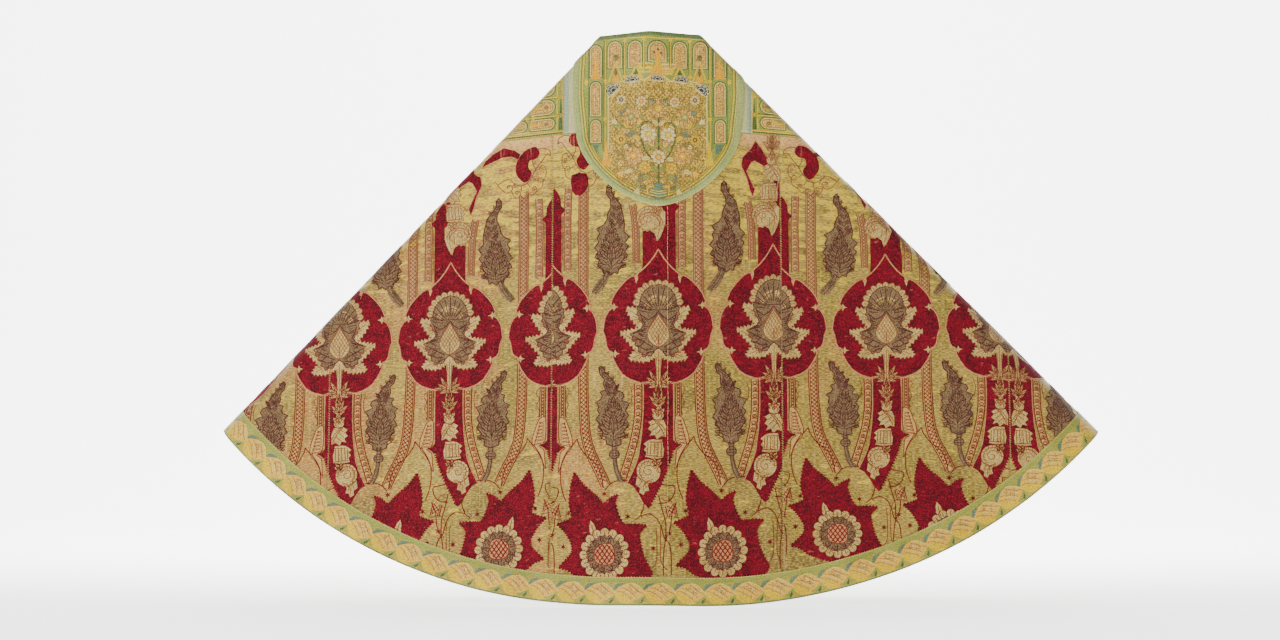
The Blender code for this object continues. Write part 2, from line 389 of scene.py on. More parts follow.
def plain_weave_group():
    """The height of warp and weft threads that go over and under each other."""
    group, given, made = group_of(
        "plain_weave", (("Place", "NodeSocketVector", None), ("Threads", "NodeSocketFloat", 700.0)),
        [("Height", "NodeSocketFloat")])
    scaled, parts = group.nodes.new("ShaderNodeVectorMath"), group.nodes.new("ShaderNodeSeparateXYZ")
    scaled.operation = "SCALE"
    crossed, eased = maths(group, "MULTIPLY"), maths(group, "MULTIPLY_ADD", 0.5, 0.5)
    joined(group, (
        (given, "Place", scaled, 0),
        (given, "Threads", scaled, "Scale"),
        (scaled, "Vector", parts, "Vector"),
        (crossed, 0, eased, 0),
        (eased, 0, made, "Height"),
    ))
    for number, axis in enumerate("XY"):
        turned, wave = maths(group, "MULTIPLY", math.pi), maths(group, "SINE")
        joined(group, ((parts, axis, turned, 0), (turned, 0, wave, 0), (wave, 0, crossed, number)))
    return group


def thread_grain_group():
    """Darkens and lightens a colour thread by thread, as light catches a coarse weave."""
    group, given, made = group_of("thread_grain", (
        ("Place", "NodeSocketVector", None),
        ("Colour", "NodeSocketColor", None),
        ("Dark", "NodeSocketColor", None),
        ("Light", "NodeSocketColor", None),
        ("Dark share", "NodeSocketFloat", 0.5),
        ("Light share", "NodeSocketFloat", 0.5),
        ("Across", "NodeSocketFloat", 300.0),
        ("Down", "NodeSocketFloat", 300.0),
    ), [("Colour", "NodeSocketColor")])
    noise = group.nodes.new("ShaderNodeGroup")
    noise.node_tree = CLOTH_NOISE
    noise.inputs["Detail"].default_value = 1.5
    joined(group, ((given, title, noise, title) for title in ("Place", "Across", "Down")))
    last = (given, "Colour")
    for shade, start, end in (("Dark", 0.5, 0.3), ("Light", 0.5, 0.7)):
        ranged, part = group.nodes.new("ShaderNodeMapRange"), maths(group, "MULTIPLY")
        ranged.inputs["From Min"].default_value = start
        ranged.inputs["From Max"].default_value = end
        mixed = group.nodes.new("ShaderNodeMix")
        mixed.data_type = "RGBA"
        joined(group, (
            (noise, "Share", ranged, "Value"),
            (ranged, "Result", part, 0),
            (given, shade + " share", part, 1),
            (part, 0, mixed, "Factor"),
            (*last, mixed, "A"),
            (given, shade, mixed, "B"),
        ))
        last = (mixed, "Result")
    joined(group, [(*last, made, "Colour")])
    return group


CLOTH_NOISE = cloth_noise_group()
PLAIN_WEAVE = plain_weave_group()
THREAD_GRAIN_AND_GLINT = thread_grain_group()


class Silk:
    """A cloth material, and the few kinds of node that its colour and threads are made with."""

    def __init__(self, name, roughness, sheen=0.0, metallic=0.0):
        self.material = bpy.data.materials.new(name)
        self.material.use_nodes = True
        self.tree = self.material.node_tree
        self.shader = self.tree.nodes["Principled BSDF"]
        self.shader.inputs["Roughness"].default_value = roughness
        self.shader.inputs["Metallic"].default_value = metallic
        self.shader.inputs["Sheen Weight"].default_value = sheen
        self.shader.inputs["Sheen Roughness"].default_value = 0.35
        self.shader.inputs["Specular IOR Level"].default_value = 0.22
        self.place = self.tree.nodes.new("ShaderNodeUVMap")
        self.place.uv_map = "flat"

    def feed(self, socket, value):
        if hasattr(value, "is_output"):
            self.tree.links.new(value, socket)
        else:
            socket.default_value = value

    def placed(self, group, **values):
        """A node group set on the flat cloth with its own values."""
        made = self.tree.nodes.new("ShaderNodeGroup")
        made.node_tree = group
        self.tree.links.new(self.place.outputs["UV"], made.inputs["Place"])
        for title, value in values.items():
            self.feed(made.inputs[title.replace("_", " ")], value)
        return made.outputs[0]

    def noise(self, across, down, detail=3.0, shift=0.0):
        """Soft noise with that many cells a metre across and down."""
        return self.placed(CLOTH_NOISE, Across=across, Down=down, Detail=detail, Shift=shift)

    # thread grain with painted shade and painted glints
    def grain_and_glint(self, colour, dark, light, shares=(0.5, 0.5), across=300.0, down=300.0):
        """A colour flecked thread by thread with a dark and a light shade: grain with painted shade and painted
        glints, as light catches a coarse weave.
        """
        return self.placed(THREAD_GRAIN_AND_GLINT, Colour=colour, Dark=dyed(*dark), Light=dyed(*light),
                           Dark_share=shares[0], Light_share=shares[1], Across=across, Down=down)

    def math(self, operation, one, other=0.5):
        made = self.tree.nodes.new("ShaderNodeMath")
        made.operation = operation
        self.feed(made.inputs[0], one)
        self.feed(made.inputs[1], other)
        return made.outputs[0]

    def between(self, value, low, high, to_low=0.0, to_high=1.0):
        """A value's place between low and high, smoothly."""
        made = self.tree.nodes.new("ShaderNodeMapRange")
        made.interpolation_type = "SMOOTHSTEP"
        self.feed(made.inputs["Value"], value)
        for name, number in zip(("From Min", "From Max", "To Min", "To Max"), (low, high, to_low, to_high)):
            made.inputs[name].default_value = number
        return made.outputs["Result"]

    def mix(self, share, one, other):
        made = self.tree.nodes.new("ShaderNodeMix")
        made.data_type = "RGBA"
        self.feed(made.inputs["Factor"], share)
        self.feed(made.inputs["A"], one)
        self.feed(made.inputs["B"], other)
        return made.outputs["Result"]

    def shades(self, value, low, high, one, other):
        """One dye that turns into another as a value goes from low to high."""
        return self.mix(self.between(value, low, high), dyed(*one), dyed(*other))

    def tinted(self, colour, value, low, high, dye, most=1.0):
        """A colour with a dye over it, up to a share, as a value goes from low to high."""
        return self.mix(self.between(value, low, high, 0.0, most), colour, dyed(*dye))

    def axis(self, down):
        """The place across the cloth, or down it, in metres."""
        made = self.tree.nodes.new("ShaderNodeSeparateXYZ")
        self.tree.links.new(self.place.outputs["UV"], made.inputs["Vector"])
        return made.outputs["Y" if down else "X"]

    def finish(self, colour, height, depth):
        """Joins the colour and the threads' height, with its depth in metres."""
        self.feed(self.shader.inputs["Base Color"], colour)
        bump = self.tree.nodes.new("ShaderNodeBump")
        bump.inputs["Strength"].default_value = 0.7
        bump.inputs["Distance"].default_value = depth
        self.feed(bump.inputs["Height"], height)
        self.tree.links.new(bump.outputs["Normal"], self.shader.inputs["Normal"])
        return self.material


def gold_ground():
    """Gold thread laid as weft over a yellow silk warp, rubbed in places down to the warp."""
    silk = Silk("gold_weft", 0.5, sheen=0.05, metallic=0.15)
    slubs = silk.noise(22, 260, 3.0)
    streaks = silk.noise(240, 7, 3.0, shift=3.0)
    patches = silk.noise(8, 5, 4.0, shift=7.0)
    warm = silk.noise(4.0, 3.0, 3.0, shift=21.0)
    warm = silk.math("ADD", warm, silk.between(silk.axis(False), -0.85, 0.30, 0.09, -0.13))
    soiled = silk.noise(6.0, 7.0, 4.0, shift=31.0)
    rubbed = silk.noise(16, 60, 4.0, shift=13.0)
    colour = silk.shades(patches, 0.35, 0.65, (138, 118, 46), (166, 138, 62))
    colour = silk.tinted(colour, warm, 0.47, 0.62, (180, 124, 66), 0.75)
    soiled = silk.math("ADD", soiled, silk.between(silk.axis(True), 1.18, 1.42, 0.0, 0.10))
    colour = silk.tinted(colour, soiled, 0.56, 0.70, (98, 80, 42), 0.60)
    colour = silk.tinted(colour, slubs, 0.50, 0.32, (104, 82, 32), 0.6)
    colour = silk.tinted(colour, streaks, 0.55, 0.75, (196, 164, 88), 0.45)
    shabby = silk.math("ADD", rubbed, silk.between(silk.axis(True), 0.34, 0.80, 0.17, -0.03))
    colour = silk.tinted(colour, shabby, 0.59, 0.70, (214, 182, 52), 0.85)
    edge = silk.math("ADD", silk.axis(True), silk.math("MULTIPLY", silk.noise(26, 14, 4.0, shift=5.0), 0.06))
    colour = silk.tinted(colour, edge, 0.335, 0.300, (214, 160, 100))
    colour = silk.tinted(colour, edge, 0.300, 0.280, (214, 182, 96))
    colour = silk.grain_and_glint(colour, (92, 64, 26), (224, 194, 108), (0.55, 0.5), 110, 380)
    threads = silk.math("ADD", slubs, silk.placed(PLAIN_WEAVE, Threads=420.0))
    return silk.finish(colour, threads, 0.0007)


def lining_silk():
    """Plain green silk that lines the cope."""
    silk = Silk("lining", 0.55, sheen=0.1)
    slubs = silk.noise(24, 420, 3.0)
    patches = silk.noise(5, 5, 3.0, shift=4.0)
    colour = silk.shades(patches, 0.35, 0.65, (104, 120, 82), (124, 138, 96))
    colour = silk.tinted(colour, slubs, 0.35, 0.7, (84, 98, 64), 0.45)
    return silk.finish(colour, silk.placed(PLAIN_WEAVE, Threads=600.0), 0.0003)


def hem_arc(start, end, radius, step=0.012):
    """Points of the cut's circle from one u to another."""
    angles = np.linspace(math.asin(start / radius), math.asin(end / radius),
                         max(2, int(abs(end - start) / step)))
    return [(radius * math.sin(a), radius * math.cos(a)) for a in angles]


GOLD = gold_ground()
LINING = lining_silk()
EDGE_POINTS = 60  # along the top of each width
VELVET_TOP = TOP_EDGE + SEAM / 2
widest = math.sqrt(CUT_RADIUS**2 - VELVET_TOP**2)
seams = [NAPE_SEAM + LOOM_WIDTH * number for number in (-1, 0, 1, 2)]
borders = [-widest, *seams, widest]
LOOMS = {}
for loom, low, high in zip(("far_left", "left", "centre", "right", "far_right"), borders, borders[1:]):
    left = low if low == -widest else low + SEAM / 2
    right = high if high == widest else high - SEAM / 2
    hem = hem_arc(right, left, CUT_RADIUS)
    outline = [(u, VELVET_TOP) for u in np.linspace(left, right, EDGE_POINTS)]
    outline += [(right, v) for v in np.arange(VELVET_TOP + 0.01, hem[0][1] - 0.005, 0.01)] + hem
    outline += [(left, v) for v in np.arange(hem[-1][1] - 0.01, VELVET_TOP + 0.005, -0.01)]
    # an outer width runs out to a point, where the top and the hem would give one point twice
    if loom == "far_left":
        outline.pop(0)
    if loom == "far_right":
        outline.pop(EDGE_POINTS - 1)
    piece, area = cloth_wall(f"velvet_{loom}_ground", outline, CLOTH_STEP, 0.0, CLOTH, GOLD, LINING)
    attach(piece, "root")
    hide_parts(f"velvet_{loom}")
    LOOMS[loom] = {"ground": piece, "outline": outline, "left": left, "right": right, "area": area}


def stitch_tree():
    """Threads of one length sewn at even steps along a path, each leaning across it."""
    tree, given, made = group_of("stitches", (
        ("Path", "NodeSocketGeometry", None),
        ("Pitch", "NodeSocketFloat", 0.006),
        ("Length", "NodeSocketFloat", 0.005),
        ("Thickness", "NodeSocketFloat", 0.0008),
        ("Slant", "NodeSocketFloat", 1.1),
        ("Unevenness", "NodeSocketFloat", 0.15),
        ("Seed", "NodeSocketInt", 3),
        ("Silk", "NodeSocketMaterial", None),
    ), [("Stitches", "NodeSocketGeometry")], "GeometryNodeTree")
    node = tree.nodes.new
    # the path, cut into even steps, with the way out of the cloth and the flat place at each
    curve, steps = node("GeometryNodeMeshToCurve"), node("GeometryNodeResampleCurve")
    steps.mode = "LENGTH"
    outward, place = (node("GeometryNodeInputNamedAttribute") for _ in range(2))
    for named, title in ((outward, "outward"), (place, "place")):
        named.data_type = "FLOAT_VECTOR"
        named.inputs["Name"].default_value = title
    # each thread leans from the path's own way by the slant and a little more or less
    along, lean = node("GeometryNodeInputTangent"), node("ShaderNodeVectorRotate")
    uneven, turned = node("FunctionNodeRandomValue"), node("FunctionNodeAxesToRotation")
    turned.primary_axis, turned.secondary_axis = "Z", "X"
    slant, back = maths(tree, "ADD"), maths(tree, "MULTIPLY", -1.0)
    # a thread is a round tube along an arch with its two ends under the cloth
    half, far_half = maths(tree, "MULTIPLY", 0.5), maths(tree, "MULTIPLY", -0.5)
    sunk, radius = maths(tree, "MULTIPLY", -0.6), maths(tree, "MULTIPLY", 0.5)
    left_end, right_end, crown = (node("ShaderNodeCombineXYZ") for _ in range(3))
    arched, round_thread = node("GeometryNodeCurveQuadraticBezier"), node("GeometryNodeCurvePrimitiveCircle")
    arched.inputs["Resolution"].default_value = 2
    round_thread.inputs["Resolution"].default_value = 5
    thread, sewn_on = node("GeometryNodeCurveToMesh"), node("GeometryNodeInstanceOnPoints")
    thread.inputs["Fill Caps"].default_value = True
    realised, flat = node("GeometryNodeRealizeInstances"), node("GeometryNodeStoreNamedAttribute")
    flat.data_type, flat.domain = "FLOAT2", "CORNER"
    flat.inputs["Name"].default_value = "flat"
    finished = node("GeometryNodeSetMaterial")
    joined(tree, (
        (given, "Path", curve, "Mesh"),
        (curve, "Curve", steps, "Curve"),
        (given, "Pitch", steps, "Length"),
        (given, "Unevenness", uneven, "Max"),
        (given, "Unevenness", back, 0),
        (back, 0, uneven, "Min"),
        (given, "Seed", uneven, "Seed"),
        (given, "Slant", slant, 0),
        (uneven, "Value", slant, 1),
        (along, "Tangent", lean, "Vector"),
        (outward, "Attribute", lean, "Axis"),
        (slant, 0, lean, "Angle"),
        (outward, "Attribute", turned, "Primary Axis"),
        (lean, "Vector", turned, "Secondary Axis"),
        (given, "Length", half, 0),
        (given, "Length", far_half, 0),
        (given, "Thickness", sunk, 0),
        (given, "Thickness", radius, 0),
        (given, "Thickness", crown, "Z"),
        (far_half, 0, left_end, "X"),
        (sunk, 0, left_end, "Z"),
        (half, 0, right_end, "X"),
        (sunk, 0, right_end, "Z"),
        (left_end, "Vector", arched, "Start"),
        (crown, "Vector", arched, "Middle"),
        (right_end, "Vector", arched, "End"),
        (radius, 0, round_thread, "Radius"),
        (arched, "Curve", thread, "Curve"),
        (round_thread, "Curve", thread, "Profile Curve"),
        (steps, "Curve", sewn_on, "Points"),
        (thread, "Mesh", sewn_on, "Instance"),
        (turned, "Rotation", sewn_on, "Rotation"),
        (sewn_on, "Instances", realised, "Geometry"),
        (realised, "Geometry", flat, "Geometry"),
        (place, "Attribute", flat, "Value"),
        (flat, "Geometry", finished, "Geometry"),
        (given, "Silk", finished, "Material"),
        (finished, "Geometry", made, "Stitches"),
    ))
    return tree


STITCHES = stitch_tree()


def sewn(name, path, height, silk, **sizes):
    """Stitches along a path of the flat cloth, at a height above its lining face."""
    path = np.asarray(path, float)
    worn = drape(path, height)
    outward = (drape(path, height + 0.001) - worn) / 0.001
    mesh = bpy.data.meshes.new("sewing_path")
    mesh.from_pydata(worn.tolist(), [(at, at + 1) for at in range(len(path) - 1)], [])
    for title, values in (("outward", outward), ("place", np.column_stack([path, np.zeros(len(path))]))):
        layer = mesh.attributes.new(title, "FLOAT_VECTOR", "POINT")
        layer.data.foreach_set("vector", values.astype(np.float32).ravel())
    piece = bpy.data.objects.new(name, mesh)
    scene.collection.objects.link(piece)
    sewing = piece.modifiers.new("stitches", "NODES")
    sewing.node_group = STITCHES
    sizes["Silk"] = silk
    for item in STITCHES.interface.items_tree:
        if item.item_type == "SOCKET" and item.in_out == "INPUT" and item.name in sizes:
            sewing[item.identifier] = sizes[item.name]
    stitches = bpy.data.meshes.new_from_object(piece.evaluated_get(bpy.context.evaluated_depsgraph_get()))
    piece.modifiers.remove(sewing)
    piece.data = stitches
    stitches.polygons.foreach_set("material_index", np.zeros(len(stitches.polygons), np.int32))
    stitches.materials.clear()
    stitches.materials.append(silk)
    for title in ("outward", "place"):
        if title in stitches.attributes:
            stitches.attributes.remove(stitches.attributes[title])
    bpy.data.meshes.remove(mesh)
    return piece


def sewing_silk(name, one, other):
    """Twisted sewing silk."""
    silk = Silk(name, 0.55, sheen=0.05)
    faded = silk.noise(60, 60, 3.0, shift=2.0)
    worn = silk.noise(260, 260, 2.0, shift=6.0)
    colour = silk.shades(faded, 0.35, 0.65, one, other)
    return silk.finish(colour, worn, 0.0002)


SEAM_SILK = sewing_silk("seam_sewing_silk", (196, 166, 98), (222, 196, 132))
for loom, seam in zip(("far_left", "left", "centre", "right"), seams):
    foot = math.sqrt(BAND_EDGE**2 - seam**2)
    path = [(seam, v) for v in np.arange(TOP_EDGE + 0.004, foot, 0.01)]
    if loom in ("left", "centre"):
        path = [place for place in path if place[1] > 0.30]  # the hood covers the rest
    piece = sewn(f"seam_stitches_{loom}", path, CLOTH + 0.0010, SEAM_SILK,
                 Pitch=0.0062, Length=0.0060, Thickness=0.0009, Slant=1.15)
    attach(piece, "root")
    LOOMS[loom]["stitches"] = piece

# ==== Velvet figure ===========================================================================
# The woven figure: crimson medallions with a cream palmette, curved stems on crimson, grey-brown
# artichokes, diapered bands, and star leaves with a rosette. It is drafted once in steps of the
# point paper, with y down the cloth, and comes twice in each loom width, as cut and uncut pile.
STEP = 0.002688
REPEAT = LOOM_WIDTH / 2
FOOT_STEP = 389.0  # the row at the foot of the medallions
FOOT_V = 0.9033
UP = -math.pi / 2  # the turn that points up the cloth
PILE = 0.0009
CRIMSON, BROWN, CREAM, CORD, LINE, BAND_GROUND, SHADE = range(7)
RAISED = {
    # how far each silk stands above the gold ground, in metres
    CRIMSON: PILE,
    BAND_GROUND: 0.0003,
    CREAM: PILE + 0.0003,
    BROWN: PILE + 0.0005,
    LINE: PILE + 0.0007,
    SHADE: PILE + 0.0007,
    CORD: PILE + 0.0006,
}


def smooth_run(points, sides=6, closed=False):
    """A soft curve through points."""
    points = np.asarray(points, float)
    if len(points) < 3:
        return points
    if closed:
        padded = np.vstack([points[-1:], points, points[:2]])
    else:
        padded = np.vstack([2 * points[0] - points[1], points, 2 * points[-1] - points[-2]])
    share = np.linspace(0, 1, sides, endpoint=False)[:, None]
    runs = []
    for before, one, other, after in zip(padded, padded[1:], padded[2:], padded[3:]):
        runs.append(0.5 * (2 * one + (other - before) * share
                           + (2 * before - 5 * one + 4 * other - after) * share**2
                           + (3 * one - before - 3 * other + after) * share**3))
    run = np.vstack(runs)
    return run if closed else np.vstack([run, points[-1:]])


def cusped(*runs, sides=5):
    """An outline of soft curves that meet at sharp corners."""
    return np.vstack([smooth_run(run, sides)[:-1] for run in runs])


def both_sides(half):
    """A half outline, from top to bottom, closed with its mirror image."""
    half = np.asarray(half, float)
    other = half[::-1] * (-1, 1)
    return np.vstack([half, other[1:] if abs(half[-1][0]) < 1e-6 else other])[:-1]


def toothed(points, depth, pitch, lean=0.35):
    """A line cut into saw teeth on its left side."""
    points = np.asarray(points, float)
    made = [points[0]]
    for one, other in zip(points, points[1:]):
        run = other - one
        length = np.linalg.norm(run)
        count = max(1, int(round(length / pitch)))
        out = np.array([run[1], -run[0]]) / max(length, 1e-9)
        for tooth in range(count):
            made.append(one + run * (tooth + lean) / count + out * depth)
            made.append(one + run * (tooth + 1) / count)
    return np.array(made)


def around(x, y, radius, turn):
    """The point at a turn round a centre."""
    return x + radius * math.cos(turn), y + radius * math.sin(turn)


def circle(x, y, radius, sides=14, squash=1.0):
    """A round outline."""
    turn = np.linspace(0, 2 * math.pi, sides, endpoint=False)
    return np.column_stack([x + radius * np.cos(turn), y + radius * squash * np.sin(turn)])


def spiral(x, y, start, end, from_turn, to_turn, sides=26):
    """A scroll's line, from one radius to another."""
    turn, radius = np.linspace(from_turn, to_turn, sides), np.linspace(start, end, sides)
    return np.column_stack([x + radius * np.cos(turn), y + radius * np.sin(turn)])


DRAFT = []
DRAFT_CELL, LINE_STEP = 3.4, 3.5  # the longest sides of the triangles of shapes and of lines
SHAPE_FOOT, LINE_DEPTH = -0.0001, 0.0005


def all_at(flat, height):
    """Points, or places along a line, with one more measure that is the same for all."""
    return np.column_stack([flat, np.full(len(flat), height)])


def fill(outline, silk, lift=0.0):
    """A filled shape of one silk, with its pile's edge."""
    flat, faces = cut_flat(outline, DRAFT_CELL)
    top_count = len(flat)
    edge = open_edges(faces)
    ring, place = np.unique(edge.ravel(), return_inverse=True)
    place = place.reshape(edge.shape)
    high, low = place + top_count, place + top_count + len(ring)
    height = RAISED[silk] + lift
    points = np.vstack([all_at(flat, height), all_at(flat[ring], height), all_at(flat[ring], SHAPE_FOOT)])
    wall = np.vstack([np.column_stack([high[:, 0], high[:, 1], low[:, 1]]),
                      np.column_stack([high[:, 0], low[:, 1], low[:, 0]])])
    DRAFT.append((points, np.vstack([faces[:, ::-1], wall]), silk))


def strip(points, width, silk, lift=0.0, closed=False):
    """A narrow line of one silk along points."""
    points = np.asarray(points, float)
    if closed:
        points = np.vstack([points, points[:1]])
    dense = [points[0]]
    for one, other in zip(points, points[1:]):
        steps = max(1, math.ceil(np.linalg.norm(other - one) / LINE_STEP))
        dense += [one + (other - one) * step / steps for step in range(1, steps + 1)]
    dense = np.array(dense)
    along = np.gradient(dense, axis=0)
    if closed:
        along[0] = along[-1] = (dense[1] - dense[-2]) / 2
    length = np.linalg.norm(along, axis=1)
    length[length < 1e-9] = 1.0
    side = np.column_stack([-along[:, 1], along[:, 0]]) / length[:, None]
    width = np.atleast_1d(width).astype(float)
    half = np.interp(np.linspace(0, 1, len(dense)), np.linspace(0, 1, len(width)), width) / 2
    height = RAISED[silk] + lift
    rows = [dense + side * half[:, None], dense - side * half[:, None]]
    count = len(dense)
    points = np.vstack([all_at(row, level) for level in (height, height - LINE_DEPTH) for row in rows])
    n = np.arange(count - 1)
    one, other, third, fourth = n, n + count, n + 2 * count, n + 3 * count
    faces = [(one, one + 1, other + 1), (one, other + 1, other)]
    faces += [(one, third + 1, one + 1), (one, third, third + 1)]
    faces += [(other, other + 1, fourth + 1), (other, fourth + 1, fourth)]
    faces = np.vstack([np.column_stack(face) for face in faces])
    DRAFT.append((points, faces, silk))


def outlined(shape, silk, width, line, lift=0.0, line_lift=None):
    """A filled shape with a line of another silk round it."""
    fill(shape, silk, lift)
    strip(shape, width, line, lift if line_lift is None else line_lift, closed=True)


def petal(x, y, turn, length, width, silk, lift=0.0, line=LINE, blunt=0.0):
    """A pointed or blunt petal that grows from its foot, with its outline and its vein."""
    way = heading(turn)
    across = np.array([-way[1], way[0]]) * width / 2
    foot = np.array([x, y])
    rows = [(0.0, 0.45), (0.35, 0.95), (0.68, 0.74 + blunt * 0.3)] + ([(0.94, blunt * 0.6)] if blunt else [])
    half = [foot + way * length * far + across * out for far, out in rows]
    other = [foot + way * length * far - across * out for far, out in rows]
    shape = half + [foot + way * length] + other[::-1]
    if silk is not None:
        fill(shape, silk, lift)
    strip(shape[1:-1], 0.75, line, lift)
    strip([foot, foot + way * length * 0.7], 0.6, line, lift)


def band_run(points):
    """A band's soft path, how far along it each point lies, and the way to its side."""
    path = smooth_run(points, 8)
    reach = np.concatenate([[0], np.cumsum(np.linalg.norm(np.diff(path, axis=0), axis=1))])
    along = np.gradient(path, axis=0)
    return path, reach, np.column_stack([-along[:, 1], along[:, 0]]) / np.linalg.norm(along, axis=1)[:, None]


def chain(points, radius, pitch):
    """A run of small shells between two fine lines, on a rosy band."""
    path, reach, side = band_run(points)
    strip(path, radius * 2.5, BAND_GROUND)
    for sign in (-1, 1):
        strip(path + side * sign * radius * 1.25, 0.95, LINE, -0.0009)
    for number, at in enumerate(np.arange(pitch / 2, reach[-1], pitch)):
        x, y = (np.interp(at, reach, path[:, axis]) for axis in (0, 1))
        strip(circle(x, y, radius * 0.72, 7, 0.8), 0.85, LINE, -0.0009, closed=True)
        fill(circle(x, y, radius * 0.3, 5), (CREAM, LINE)[number % 2], -0.0008)
        under = [(x - radius, y + pitch * 0.42), (x, y + pitch * 0.3), (x + radius, y + pitch * 0.42)]
        strip(under, 0.75, LINE, -0.0009)


def diaper(points, half, pitch):
    """A band crossed by a lattice of fine lines, between two fine lines."""
    path, reach, side = band_run(points)
    strip(path, half * 2, BAND_GROUND)
    for sign in (-1, 1):
        strip(path + side * sign * half, 0.9, LINE, -0.0009)
        strip(path + side * sign * (half - 1.5), 0.6, LINE, -0.0009)
    inner = half - 1.3

    def at(run, across):
        run = min(max(run, 0.0), reach[-1])
        return np.array([np.interp(run, reach, path[:, axis] + side[:, axis] * across) for axis in (0, 1)])

    for start in np.arange(0, reach[-1] - inner * 2, pitch):
        for sign in (-1, 1):
            strip([at(start, -sign * inner), at(start + inner * 2, sign * inner)], 0.75, LINE, -0.0010)
    for run in np.arange(pitch, reach[-1], pitch * 2):
        fill(circle(*at(run, 0), 0.7, 4), CREAM, -0.0007)


